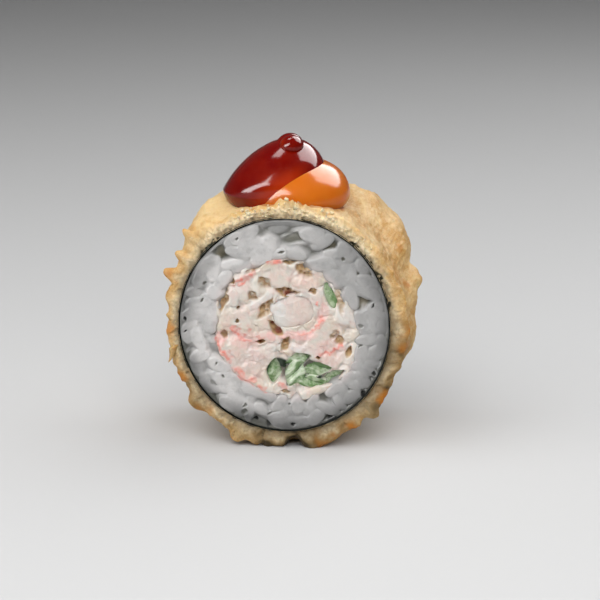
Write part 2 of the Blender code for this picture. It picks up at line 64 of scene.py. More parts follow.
NOISE_REACH = 5 * MM
GOLDEN_SHARE = 0.618034
SETTLE_ROUNDS = 160
SETTLE_PUSH = 0.3
SETTLE_JITTER = 0.1
SHORTEST_SHARE = 0.5
LEAST_DISTANCE = 1e-9
LAYER_STEP = 10
LUMP_FALL = 2.6 * MM
LUMP_FALL_END = 3
BEND_LEVEL = 0.3

# The Mix node's two inputs and its output, by the kind of value that it mixes.
MIX_SOCKETS = {"RGBA": (6, 7, 2), "FLOAT": (2, 3, 0)}

Array = np.ndarray
Colour = tuple[float, float, float]
Place = tuple[float, float, float]
Span = tuple[float, float]
Socket = bpy.types.NodeSocket
RadiusRule = Callable[[Array], Array]


class Side(Enum):
    """The two cut faces of the roll: the way that each one looks along Y."""

    FRONT = -1
    BACK = 1


def smoothstep(value: Array, low: float, high: float) -> Array:
    """Rises smoothly from 0 at low to 1 at high: share squared times (3 minus twice the share).

    Args:
        value: what is compared with the two limits.
        low: where the rise starts; it may be over high, and then the result falls.
        high: where the rise ends.

    Returns:
        The share from 0 to 1 at each value.
    """
    share = np.clip((value - low) / (high - low), 0, 1)
    return share * share * (3 - 2 * share)


def lattice_value(cells: Array, seed: int) -> Array:
    """A fixed random number from -1 to 1 for each whole-numbered cell, by mixing the bits of its place."""
    x, y, z = (cells[..., i] * prime for i, prime in enumerate(CELL_PRIMES))
    mixed = (x ^ y ^ z ^ (seed * SEED_PRIME)) & WORD
    for _ in range(2):
        mixed = ((mixed ^ (mixed >> 16)) * MIXING_PRIME) & WORD
    return (mixed ^ (mixed >> 16)) / (WORD // 2) - 1.0


def smooth_noise(points: Array, size: float, seed: int) -> Array:
    """Noise with bumps of one size: the eight lattice values round each point, blended by smoothstep.

    Args:
        points: places, with x, y and z along the last axis.
        size: the distance between the lattice's places.
        seed: which of the many patterns.

    Returns:
        A value from -1 to 1 for each point.
    """
    cells = points / size
    low = np.floor(cells).astype(np.int64)
    share = cells - low
    share = share * share * (3 - 2 * share)
    total = np.zeros(points.shape[:-1])
    for corner in itertools.product((0, 1), repeat=3):
        weight = np.prod(np.where(np.array(corner) == 1, share, 1 - share), axis=-1)
        total += weight * lattice_value(low + np.array(corner), seed)
    return total


def turned_noise(points: Array, size: float, seed: int) -> Array:
    """The same noise on a lattice turned out of line, so that no rows of bumps show along the axes."""
    return smooth_noise(points @ NOISE_TURN.T, size, seed)


def turns(count: int) -> Array:
    """Angles once round in equal steps, without the last one, which is the first again."""
    return np.arange(count) * TAU / count


def around(radius: Array, angle: Array, along: Array) -> Array:
    """Places measured from the axis, from a radius and an angle round it and a distance along it."""
    along = np.broadcast_to(along, np.broadcast_shapes(np.shape(radius), np.shape(angle)))
    return np.stack([radius * np.cos(angle), along, radius * np.sin(angle)], axis=-1)


def each(kind: type, *rows: tuple) -> tuple:
    """One object of a kind for each row of values, which stand in the order of the kind's fields."""
    return tuple(kind(*row) for row in rows)


@dataclass(frozen=True)
class Noise:
    """Noise with bumps of a size in mm: which pattern, times how much, and whether its lattice is turned."""

    size: float
    seed: int
    amount: float = 1.0
    turned: bool = True

    def at(self, points: Array) -> Array:
        """Its value at places, from minus its amount to its amount."""
        pattern = turned_noise if self.turned else smooth_noise
        return self.amount * pattern(points, self.size * MM, self.seed)


Noises = tuple[Noise, ...]


def together(noises: Noises, points: Array) -> Array:
    """The sum of some noises at places."""
    return sum(noise.at(points) for noise in noises)


@dataclass(frozen=True)
class Warp:
    """Noises that move places across and up a cut face."""

    across: Noises
    up: Noises

    def moved(self, place: Array, x: Array, z: Array) -> tuple[Array, Array]:
        """Places of a face, moved by the noises there."""
        return x + together(self.across, place), z + together(self.up, place)


@dataclass(frozen=True)
class Ramp:
    """A smooth rise from 0 at one value to an amount at another, which may be the lower one."""

    start: float
    end: float
    amount: float = 1.0

    def at(self, value: Array) -> Array:
        """How far it has risen at some values."""
        return self.amount * smoothstep(value, self.start, self.end)


def ceiling(height: Array, top: float, softness: float) -> Array:
    """A height kept under a top, which it nears softly."""
    return top - softness * np.logaddexp(0, (top - height) / softness)


@dataclass
class Shell:
    """A closed surface: its points, its faces of four and of three corners, and values kept at its points."""

    points: Array
    quads: Array
    triangles: Array = field(default_factory=lambda: np.zeros((0, 3), int))
    marks: dict[str, Array] = field(default_factory=dict)

    def volume(self) -> float:
        """The volume inside: the sum of each triangle's corner dotted with the cross of its other two."""
        quads, points = self.quads, self.points
        faces = np.concatenate([quads[:, [0, 1, 2]], quads[:, [0, 2, 3]], self.triangles])
        a, b, c = (points[faces[:, i]] for i in range(3))
        return float(np.einsum("ij,ij->i", a, np.cross(b, c)).sum() / 6)

    def outward(self) -> "Shell":
        """The same shell with its faces turned outwards."""
        if self.volume() >= 0:
            return self
        return Shell(self.points, self.quads[:, ::-1], self.triangles[:, ::-1], self.marks)

    def piece(self, name: str, material: bpy.types.Material) -> bpy.types.Object:
        """Makes the shell an object in the scene.

        Args:
            name: the object's name.
            material: its one material.

        Returns:
            The object, smooth, at the origin, with its marks as attributes of its points.
        """
        shell = self.outward()
        mesh = bpy.data.meshes.new(name)
        mesh.vertices.add(len(shell.points))
        mesh.vertices.foreach_set("co", shell.points.astype(np.float32).ravel())
        corners = np.concatenate([shell.quads.ravel(), shell.triangles.ravel()]).astype(np.int32)
        mesh.loops.add(len(corners))
        mesh.loops.foreach_set("vertex_index", corners)
        counts = np.repeat([4, 3], [len(shell.quads), len(shell.triangles)])
        mesh.polygons.add(len(counts))
        starts = np.concatenate([[0], np.cumsum(counts)[:-1]]).astype(np.int32)
        mesh.polygons.foreach_set("loop_start", starts)
        mesh.update(calc_edges=True)
        mesh.validate()
        mesh.shade_smooth()
        for mark, values in shell.marks.items():
            kept = mesh.attributes.new(mark, "FLOAT", "POINT")
            kept.data.foreach_set("value", np.ascontiguousarray(values, dtype=np.float32).ravel())
        mesh.materials.append(material)
        made = bpy.data.objects.new(name, mesh)
        bpy.context.scene.collection.objects.link(made)
        return made


def grid_quads(rows: int, columns: int, closed_rows: bool) -> Array:
    """The four corners of each face of a grid of points that is closed across its columns.

    Args:
        rows: how many rows of points.
        columns: how many points in a row.
        closed_rows: whether the last row joins the first.

    Returns:
        One line of four point numbers for each face.
    """
    numbers = np.arange(rows * columns).reshape(rows, columns)
    below = np.roll(numbers, -1, axis=0) if closed_rows else numbers[1:]
    above = numbers if closed_rows else numbers[:-1]
    faces = np.stack([above, np.roll(above, -1, axis=1), np.roll(below, -1, axis=1), below], axis=-1)
    return faces.reshape(-1, 4)


def ring_shell(points: Array, **marks: Array) -> Shell:
    """A shell like a ring doughnut, from a grid of points that is closed both ways."""
    rows, columns = points.shape[:2]
    flat = {mark: values.ravel() for mark, values in marks.items()}
    return Shell(points.reshape(-1, 3), grid_quads(rows, columns, True), marks=flat)


def capped_shell(points: Array, **marks: Array) -> Shell:
    """A shell like a ball, from rows of points that are rings; its end rows shrink to one point each.

    Args:
        points: the grid, rows by columns by three.
        marks: values on the same grid.

    Returns:
        The shell, with a fan of triangles at each end.
    """
    rows, columns = points.shape[:2]
    inner = rows - 2
    ring = np.arange(columns)
    after = np.roll(ring, -1)
    first, last = inner * columns, inner * columns + 1
    final = (inner - 1) * columns
    fans = np.concatenate(
        [
            np.stack([np.full(columns, first), after, ring], axis=1),
            np.stack([np.full(columns, last), final + ring, final + after], axis=1),
        ]
    )

    def flatten(values: Array) -> Array:
        """The rings one after another, and then each end row's mean."""
        ends = np.stack([values[0].mean(axis=0), values[-1].mean(axis=0)])
        return np.concatenate([values[1:-1].reshape(-1, *values.shape[2:]), ends])

    flat = {mark: flatten(values) for mark, values in marks.items()}
    return Shell(flatten(points), grid_quads(inner, columns, False)[:, ::-1], fans[:, ::-1], flat)


class Weaver:
    """Adds, sets and links the nodes of one shader tree."""

    def __init__(self, tree: bpy.types.NodeTree) -> None:
        """Keeps the tree that the nodes go into."""
        self.tree = tree

    def add(self, kind: str, inputs: dict[str, object] | None = None, **settings: object) -> bpy.types.Node:
        """Adds a node.

        Args:
            kind: the node's type.
            inputs: for each input's name or number, a value or the output to link to it.
            settings: the node's own properties.

        Returns:
            The node.
        """
        node = self.tree.nodes.new(kind)
        for name, value in settings.items():
            setattr(node, name, value)
        for key, value in (inputs or {}).items():
            self.feed(node.inputs[key], value)
        return node

    def feed(self, target: Socket, value: object) -> None:
        """Links an output to an input, or sets the input's own value."""
        if isinstance(value, Socket):
            self.tree.links.new(value, target)
        elif target.type == "RGBA":
            target.default_value = (*value, 1.0)
        else:
            target.default_value = value

    def mark(self, name: str) -> Socket:
        """A value kept at the piece's points."""
        return self.add("ShaderNodeAttribute", attribute_name=name).outputs["Fac"]

    def calculate(self, operation: str, first: object, second: object) -> Socket:
        """The result of a sum on two values, kept from 0 to 1."""
        node = self.add("ShaderNodeMath", {0: first, 1: second}, operation=operation, use_clamp=True)
        return node.outputs[0]

    def times(self, first: object, second: object) -> Socket:
        """The product of two values, kept from 0 to 1."""
        return self.calculate("MULTIPLY", first, second)

    def mix(self, share: object, first: object, second: object, kind: str = "RGBA") -> Socket:
        """Mixes two colours, or two numbers if the kind is FLOAT: the first at share 0, the second at 1."""
        low, high, result = MIX_SOCKETS[kind]
        return self.add("ShaderNodeMix", {0: share, low: first, high: second}, data_type=kind).outputs[result]

    def span(self, value: object, low: object, high: object) -> Socket:
        """A smooth rise from 0 where the value is low to 1 where it is high."""
        inputs = {"Value": value, "From Min": low, "From Max": high}
        return self.add("ShaderNodeMapRange", inputs, interpolation_type="SMOOTHSTEP").outputs["Result"]

    def group(self, tree: bpy.types.NodeTree, inputs: dict[str, object]) -> Socket:
        """Places a node group and returns its one output."""
        node = self.add("ShaderNodeGroup")
        node.node_tree = tree
        for key, value in inputs.items():
            self.feed(node.inputs[key], value)
        return node.outputs[0]

    def bump(self, height: object, distance: float, strength: float) -> Socket:
        """A normal that leans with a height, whose full rise is a distance in mm."""
        inputs = {"Height": height, "Distance": distance * MM, "Strength": strength}
        return self.add("ShaderNodeBump", inputs).outputs["Normal"]


def new_group(name: str, *numbers: str) -> tuple[Weaver, bpy.types.Node, bpy.types.Node]:
    """Starts a node group that takes a Place, a Size and more numbers, and gives one Value.

    Args:
        name: the group's name.
        numbers: the names of its other inputs.

    Returns:
        A weaver for its tree, its input node and its output node.
    """
    tree = bpy.data.node_groups.new(name, "ShaderNodeTree")
    tree.interface.new_socket(name="Place", in_out="INPUT", socket_type="NodeSocketVector")
    for key in ("Size", *numbers):
        tree.interface.new_socket(name=key, in_out="INPUT", socket_type="NodeSocketFloat")
    tree.interface.new_socket(name="Value", in_out="OUTPUT", socket_type="NodeSocketFloat")
    weaver = Weaver(tree)
    return weaver, weaver.add("NodeGroupInput"), weaver.add("NodeGroupOutput")


class Effects:
    """The shader effects that several finishes share, each a node group that is built once."""

    def __init__(self) -> None:
        """Builds the groups."""
        self.cloudy = self.cloudy_group()
        self.crumbly = self.crumbly_group()

    @staticmethod
    def texture(weaver: Weaver, given: bpy.types.Node) -> dict[str, Socket]:
        """A texture's inputs in a group: its place, and as its scale how often the Size fits in a metre."""
        sizes = {0: 1.0, 1: given.outputs["Size"]}
        per_metre = weaver.add("ShaderNodeMath", sizes, operation="DIVIDE").outputs[0]
        return {"Vector": given.outputs["Place"], "Scale": per_metre}

    def cloudy_group(self) -> bpy.types.NodeTree:
        """Soft clouds from 0 to 1: layered noise of a size, stretched between two limits."""
        weaver, given, result = new_group("cloudy", "Seed", "Low", "High")
        inputs = {"W": given.outputs["Seed"], "Detail": 4.0, "Roughness": 0.55}
        inputs.update(self.texture(weaver, given))
        noise = weaver.add("ShaderNodeTexNoise", inputs, noise_dimensions="4D").outputs["Fac"]
        stretched = weaver.span(noise, given.outputs["Low"], given.outputs["High"])
        weaver.feed(result.inputs["Value"], stretched)
        return weaver.tree

    def crumbly_group(self) -> bpy.types.NodeTree:
        """Close-set crumbs, 0 between them and 1 on top: distance from cell centres, roughened by noise."""
        weaver, given, result = new_group("crumbly", "Roughness")
        common = self.texture(weaver, given)
        cells = weaver.add("ShaderNodeTexVoronoi", {**common, "Smoothness": 0.4}, feature="SMOOTH_F1")
        noise = weaver.add("ShaderNodeTexNoise", {**common, "Detail": 5.0, "Roughness": 0.65}).outputs["Fac"]
        limits = {"Value": cells.outputs["Distance"], "From Min": 0.75, "From Max": 0.0}
        crumbs = weaver.add("ShaderNodeMapRange", limits).outputs["Result"]
        blend = weaver.mix(given.outputs["Roughness"], crumbs, noise, "FLOAT")
        weaver.feed(result.inputs["Value"], blend)
        return weaver.tree


@dataclass(frozen=True)
class Clouds:
    """A pattern of soft clouds: one's size in mm, the noise's seed and limits, and how strong they are."""

    size: float
    seed: float
    low: float
    high: float
    share: float = 1.0


class Paint(Weaver):
    """One material: a Principled shader, and a colour that is laid on in coats."""

    def __init__(
        self, name: str, effects: Effects, glow: Colour | None = None, **constants: float | Colour
    ) -> None:
        """Starts the material.

        Args:
            name: its name.
            effects: the shared node groups.
            glow: how far red, green and blue light scatter inside it, in mm.
            constants: the shader's inputs that are the same all over, with underscores for spaces.
        """
        self.material = bpy.data.materials.new(name)
        self.material.use_nodes = True
        super().__init__(self.material.node_tree)
        self.effects = effects
        self.colour: Socket | Colour = (1.0, 1.0, 1.0)
        self.shader = self.tree.nodes["Principled BSDF"]
        if glow:
            constants["Subsurface_Radius"] = tuple(distance * MM for distance in glow)
            constants["Subsurface_Scale"] = 1.0
        for key, value in constants.items():
            self.shader.inputs[key.replace("_", " ")].default_value = value

    @cached_property
    def place(self) -> Socket:
        """The point's place on the piece, in metres."""
        return self.add("ShaderNodeTexCoord").outputs["Object"]

    def clouds(self, pattern: Clouds, place: Socket | None = None) -> Socket:
        """A pattern of clouds over the piece, or over other places, from 0 to the pattern's share."""
        inputs = {"Place": self.place if place is None else place, "Size": pattern.size * MM}
        inputs.update({"Seed": pattern.seed, "Low": pattern.low, "High": pattern.high})
        drawn = self.group(self.effects.cloudy, inputs)
        return drawn if pattern.share == 1.0 else self.times(drawn, pattern.share)

    def crumbs(self, place: Socket, size: float, roughness: float) -> Socket:
        """Close-set crumbs of a size in mm, from 0 between them to 1 on top."""
        inputs = {"Place": place, "Size": size * MM, "Roughness": roughness}
        return self.group(self.effects.crumbly, inputs)

    def coat(self, share: object, colour: object) -> None:
        """Lays a colour over what is there: none of it at share 0 and all of it at share 1."""
        self.colour = self.mix(share, self.colour, colour)

    def finished(self, normal: Socket | None = None) -> bpy.types.Material:
        """Gives the shader its colour, and its normal if it has one, and returns the material."""
        self.feed(self.shader.inputs["Base Color"], self.colour)
        if normal is not None:
            self.feed(self.shader.inputs["Normal"], normal)
        return self.material


@dataclass(frozen=True)
class CrustFinish:
    """Fried batter: golden with cream patches and toasted spots, and paler, drier crumb where it is cut."""

    golden: Colour = (0.50, 0.255, 0.055)
    cream: Colour = (0.73, 0.525, 0.26)
    amber: Colour = (0.50, 0.185, 0.025)
    brown: Colour = (0.26, 0.075, 0.012)
    crumb: Colour = (0.55, 0.41, 0.225)
    crumb_cream: Colour = (0.84, 0.70, 0.46)
    shade: Colour = (0.27, 0.20, 0.12)
    # Painted shade: the crust's lower part, darker because it lies in shade.
    damp: Colour = (0.155, 0.105, 0.045)
    # Painted shadow: near-black where that painted shade is deepest, in the hollow at the bottom edge.
    char: Colour = (0.050, 0.034, 0.016)
    soaked: Colour = (0.36, 0.10, 0.020)
    seaweed: Colour = (0.028, 0.024, 0.012)
    glow: Colour = (1.2, 0.7, 0.35)
    drawn: Place = (1.0, 0.55, 1.0)
    broad: Clouds = Clouds(4.0, 3.0, 0.46, 0.66)
    spotty: Clouds = Clouds(1.4, 15.0, 0.46, 0.64, 0.55)
    fine: Clouds = Clouds(0.6, 9.0, 0.38, 0.62, 0.40)
    grainy: Clouds = Clouds(0.28, 21.0, 0.40, 0.62, 0.30)
    freckled: Clouds = Clouds(1.0, 31.0, 0.52, 0.66, 0.50)
    mottled: Clouds = Clouds(2.4, 12.0, 0.36, 0.64)
    plain_share: float = 0.7
    # Painted shade in the hollows between crumbs and on the cut crumb close to the nori.
    hollow_span: Span = (0.50, 0.30)
    hollow_share: float = 0.45
    near_share: float = 0.80
    # Where the painted shade low down turns into the painted shadow.
    deep_shadow_span: Span = (0.72, 1.1)
    amber_span: Span = (0.05, 0.60)
    brown_span: Span = (0.55, 1.0)
    brown_share: float = 0.6

    def outside(self, paint: Paint, drawn: Socket) -> Socket:
        """The fried skin: golden with cream patches, and cream and golden specks, fewer where it is cream."""
        cream = paint.mark("cream")
        patches = paint.calculate("MAXIMUM", paint.clouds(self.broad, drawn), cream)
        golden = paint.calculate("SUBTRACT", 1.0, paint.times(cream, self.plain_share))
        colour = paint.mix(patches, self.golden, self.cream)
        colour = paint.mix(paint.clouds(self.spotty, drawn), colour, self.cream)
        colour = paint.mix(paint.times(paint.clouds(self.fine, drawn), golden), colour, self.golden)
        colour = paint.mix(paint.clouds(self.grainy), colour, self.cream)
        return paint.mix(paint.times(paint.clouds(self.freckled), golden), colour, self.golden)

    def inside(self, paint: Paint, crumbs: Socket) -> Socket:
        """The cut crumb: mottled with cream, with painted shade in its hollows and close to the nori."""
        pale = paint.calculate("MAXIMUM", paint.clouds(self.mottled), paint.mark("cream"))
        hollows = paint.times(paint.span(crumbs, *self.hollow_span), self.hollow_share)
        colour = paint.mix(hollows, paint.mix(pale, self.crumb, self.crumb_cream), self.shade)
        return paint.mix(paint.times(paint.mark("near"), self.near_share), colour, self.shade)

    def material(self, effects: Effects) -> bpy.types.Material:
        """Builds the finish from the marks cut, near, toast, cream, painted shade low down, soak and fleck.
        """
        constants = {"Roughness": 0.6, "Subsurface_Weight": 0.30, "Specular_IOR_Level": 0.12}
        paint = Paint("fried_crust", effects, self.glow, **constants)
        scaled = paint.add("ShaderNodeVectorMath", {0: paint.place, 1: self.drawn}, operation="MULTIPLY")
        drawn = scaled.outputs[0]
        crumbs = paint.crumbs(drawn, size=0.6, roughness=0.7)
        toast, damp = paint.mark("toast"), paint.mark("damp")
        paint.colour = self.outside(paint, drawn)
        paint.coat(paint.mark("cut"), self.inside(paint, crumbs))
        # Painted shade low down on the crust, and a painted shadow where it is deepest.
        paint.coat(damp, self.damp)
        paint.coat(paint.span(damp, *self.deep_shadow_span), self.char)
        paint.coat(paint.span(toast, *self.amber_span), self.amber)
        paint.coat(paint.times(paint.span(toast, *self.brown_span), self.brown_share), self.brown)
        paint.coat(paint.mark("soak"), self.soaked)
        paint.coat(paint.mark("fleck"), self.seaweed)
        return paint.finished(paint.bump(crumbs, distance=0.28, strength=0.75))


@dataclass(frozen=True)
class NoriFinish:
    """Damp seaweed sheet: green-black, with a few lighter green patches."""

    dark: Colour = (0.0035, 0.0045, 0.0035)
    light: Colour = (0.010, 0.013, 0.008)
    patches: Clouds = Clouds(1.2, 2.0, 0.45, 0.75)

    def material(self, effects: Effects) -> bpy.types.Material:
        """Builds the finish."""
        paint = Paint("nori", effects, Roughness=0.65, Specular_IOR_Level=0.10)
        paint.colour = paint.mix(paint.clouds(self.patches), self.dark, self.light)
        crumbs = paint.crumbs(paint.place, size=0.5, roughness=0.6)
        return paint.finished(paint.bump(crumbs, distance=0.15, strength=0.6))


@dataclass(frozen=True)
class RiceFinish:
    """Cooked rice: pearly crests, greyer edges partly of painted shade, and painted shade at the rim and in
    the dim green-grey hollows.
    """

    bright: Colour = (0.70, 0.68, 0.665)
    # Greyer grain edges: partly the grains' own translucence, partly painted shade in the creases between
    # grains.
    edge: Colour = (0.27, 0.27, 0.265)
    # Painted shade towards the rim, against the nori.
    rim: Colour = (0.135, 0.135, 0.132)
    # Painted shade in the gaps between grains: grey, olive, and near-black in the darkest holes.
    hollow: Colour = (0.165, 0.165, 0.140)
    olive: Colour = (0.200, 0.160, 0.085)
    dark: Colour = (0.014, 0.014, 0.012)
    coral: Colour = (0.78, 0.26, 0.21)
    blush: Colour = (0.74, 0.62, 0.60)
    glow: Colour = (0.9, 0.85, 0.8)
    uneven: Clouds = Clouds(1.6, 5.0, 0.30, 0.70)
    fine: Clouds = Clouds(0.9, 6.0, 0.2, 0.8)
    uneven_span: Span = (-1.1, 0.6)
    crest_span: Span = (-1.5, 0.4)
    dark_span: Span = (0.0, -0.8)
    blush_share: float = 0.6

    def material(self, effects: Effects) -> bpy.types.Material:
        """Builds the finish from the marks crest, tone, rim, hollow, warm, coral and blush."""
        constants = {"Roughness": 0.40, "Subsurface_Weight": 0.50, "Specular_IOR_Level": 0.30}
        paint = Paint("rice", effects, self.glow, **constants)
        uneven = paint.span(paint.clouds(self.uneven), *self.uneven_span)
        # Greyer towards grain edges: partly their translucence, partly painted shade between grains.
        crest = paint.span(paint.mark("crest"), *self.crest_span)
        pearly = paint.times(paint.times(crest, paint.mark("tone")), uneven)
        paint.colour = paint.mix(pearly, self.edge, self.bright)
        # Painted shade towards the rim.
        paint.coat(paint.mark("rim"), self.rim)
        paint.coat(paint.times(paint.mark("blush"), self.blush_share), self.blush)
        paint.coat(paint.times(paint.mark("coral"), uneven), self.coral)
        # Painted shade in the gaps and hollows between grains.
        warm = paint.mark("warm")
        hollow = paint.mix(warm, self.hollow, self.olive)
        hollow = paint.mix(paint.span(warm, *self.dark_span), hollow, self.dark)
        paint.coat(paint.mark("hollow"), hollow)
        return paint.finished(paint.bump(paint.clouds(self.fine), distance=0.10, strength=0.5))


@dataclass(frozen=True)
class CrabFinish:
    """Crab stick in a light dressing: creamy white shreds, coral skin streaks, and painted shade in the
    hollows.
    """

    cream: Colour = (0.68, 0.60, 0.49)
    white: Colour = (0.71, 0.685, 0.65)
    blush: Colour = (0.78, 0.52, 0.48)
    coral: Colour = (0.76, 0.27, 0.22)
    # Painted shade: tan and brown in the hollows between shreds, the brown where they are deepest.
    tan: Colour = (0.50, 0.34, 0.18)
    brown: Colour = (0.27, 0.080, 0.045)
    # Painted shade: near-black in the gaps between the cucumber strips.
    black: Colour = (0.012, 0.024, 0.010)
    glow: Colour = (1.5, 1.15, 0.95)
    blushes: Clouds = Clouds(2.0, 4.0, 0.42, 0.66, 0.30)
    broken: Clouds = Clouds(0.7, 8.0, 0.25, 0.65)
    fine: Clouds = Clouds(0.6, 6.0, 0.2, 0.8)
    broken_span: Span = (-0.6, 0.7)
    tan_span: Span = (0.0, 0.5)
    brown_span: Span = (0.45, 1.0)

    def material(self, effects: Effects) -> bpy.types.Material:
        """Builds the finish from the marks tone, coral, hollow, blush and black."""
        constants = {"Roughness": 0.42, "Subsurface_Weight": 0.60, "Specular_IOR_Level": 0.35}
        paint = Paint("crab", effects, self.glow, **constants)
        paint.colour = paint.mix(paint.mark("tone"), self.cream, self.white)
        paint.coat(paint.calculate("ADD", paint.clouds(self.blushes), paint.mark("blush")), self.blush)
        broken = paint.span(paint.clouds(self.broken), *self.broken_span)
        paint.coat(paint.times(paint.mark("coral"), broken), self.coral)
        # Painted shade in the hollows, tan and then brown.
        hollow = paint.mark("hollow")
        paint.coat(paint.span(hollow, *self.tan_span), self.tan)
        paint.coat(paint.span(hollow, *self.brown_span), self.brown)
        # Near-black painted shade in the gaps by the cucumber.
        paint.coat(paint.mark("black"), self.black)
        return paint.finished(paint.bump(paint.clouds(self.fine), distance=0.09, strength=0.5))


@dataclass(frozen=True)
class CucumberFinish:
    """Cucumber: pale wet flesh with fine veins, and a dark green skin."""

    flesh: Colour = (0.56, 0.64, 0.46)
    green: Colour = (0.15, 0.27, 0.10)
    skin: Colour = (0.020, 0.060, 0.016)
    pale: Colour = (0.66, 0.72, 0.57)
    glow: Colour = (0.6, 0.9, 0.4)
    veins: Clouds = Clouds(0.8, 1.0, 0.42, 0.60, 0.45)
    fine: Clouds = Clouds(0.5, 6.0, 0.2, 0.8)

    def material(self, effects: Effects) -> bpy.types.Material:
        """Builds the finish from the marks skin, green and pale."""
        constants = {"Roughness": 0.28, "Subsurface_Weight": 0.25, "Specular_IOR_Level": 0.45}
        paint = Paint("cucumber", effects, self.glow, **constants)
        green = paint.calculate("ADD", paint.clouds(self.veins), paint.mark("green"))
        # The green, skin and pale marks also carry painted shade and highlights on the folds.
        paint.colour = paint.mix(green, self.flesh, self.green)
        paint.coat(paint.mark("skin"), self.skin)
        paint.coat(paint.mark("pale"), self.pale)
        return paint.finished(paint.bump(paint.clouds(self.fine), distance=0.12, strength=0.6))


@dataclass(frozen=True)
class SauceFinish:
    """A glossy sauce, with one colour where it is thick and another where it thins out, also laid on as a
    painted glow.
    """

    name: str
    thick: Colour
    thin: Colour
    glow: Colour
    subsurface: float
    roughness: float
    uneven: Clouds = Clouds(3.5, 2.0, 0.30, 0.70, 0.12)

    def material(self, effects: Effects) -> bpy.types.Material:
        """Builds the finish from the mark thin, which also carries a painted glow."""
        constants = {"Roughness": self.roughness, "Subsurface_Weight": self.subsurface, "IOR": 1.36}
        paint = Paint(self.name, effects, self.glow, **constants)
        thin = paint.calculate("ADD", paint.mark("thin"), paint.clouds(self.uneven))
        paint.colour = paint.mix(thin, self.thick, self.thin)
        return paint.finished()


@dataclass(frozen=True)
class RollSection:
    """The roll's section: its layers' radii round the axis, each a rule of the angle from +X."""

    depth: float = 27.0 * MM
    axis_height: float = 25.9 * MM
    nori_radius: float = 22.0 * MM
    nori_thickness: float = 0.5 * MM
    nori_oval: float = 0.51 * MM
    nori_slant: float = 0.08 * MM
    nori_lean: float = 0.25 * MM
    nori_lean_angle: float = math.radians(135.0)
    crust_thickness: float = 2.65 * MM
    crust_lean: float = 0.5 * MM
    crust_lean_angle: float = math.radians(-35.0)
    filling_radius: float = 14.05 * MM
    filling_slant: float = 0.55
    filling_drop: float = 0.50
    filling_waves: tuple[tuple[float, float, float], ...] = ((0.18, 5, 2.1), (0.12, 8, 0.0))
    filling_bulge: float = 0.7 * MM
    bulge_angle: float = math.radians(-38.0)
    bulge_sharpness: float = 6.0

    def nori_at(self, angle: Array) -> Array:
        """The nori's outer radius: an oval a little taller than wide that leans to one side."""
        oval = self.nori_oval * np.cos(2 * angle) + self.nori_slant * np.sin(2 * angle)
        return self.nori_radius - oval + self.nori_lean * np.cos(angle - self.nori_lean_angle)

    def rice_at(self, angle: Array) -> Array:
        """The rice's outer radius, against the nori."""
        return self.nori_at(angle) - self.nori_thickness

    def filling_at(self, angle: Array) -> Array:
        """The filling's outer radius: a wavy round that bulges low on the right, where the cucumber is."""
        lean = self.filling_slant * np.sin(2 * angle) + self.filling_drop * np.sin(angle)
        waves = sum(height * np.sin(count * angle + start) for height, count, start in self.filling_waves)
        bulge = self.filling_bulge * np.exp(self.bulge_sharpness * (np.cos(angle - self.bulge_angle) - 1))
        return self.filling_radius + (waves - lean) * MM + bulge

    def crust_at(self, angle: Array) -> Array:
        """The crust's outer radius before its crags: thinner on the left and thicker low on the right."""
        uneven = self.crust_lean * np.cos(angle - self.crust_lean_angle)
        return self.nori_at(angle) + self.crust_thickness + uneven

    def points(self, radius: Array, angle: Array, along: Array) -> Array:
        """Places in the row's frame, from a radius and an angle round the axis and a distance along it."""
        return around(radius, angle, along) + np.array([0.0, 0.0, self.axis_height])


@dataclass(frozen=True)
class Spot:
    """A place on the crust's outside where it stands out or changes colour.

    It has an angle in degrees, a share of the depth from the front, an amount, and a width in mm.
    """

    degrees: float
    depth_share: float
    amount: float
    width: float
    along_share: float = 0.6

    def strength(self, angle: Array, along: Array, radius: Array, depth: float, unit: float) -> Array:
        """Its amount in a unit, which falls off round it as a bell of the cube of the distance."""
        off_angle = (angle - math.radians(self.degrees) + math.pi) % TAU - math.pi
        away = along - (self.depth_share - 0.5) * depth
        distance = np.hypot(off_angle * radius, self.along_share * away) / (self.width * MM)
        return self.amount * unit * np.exp(-(distance**3))


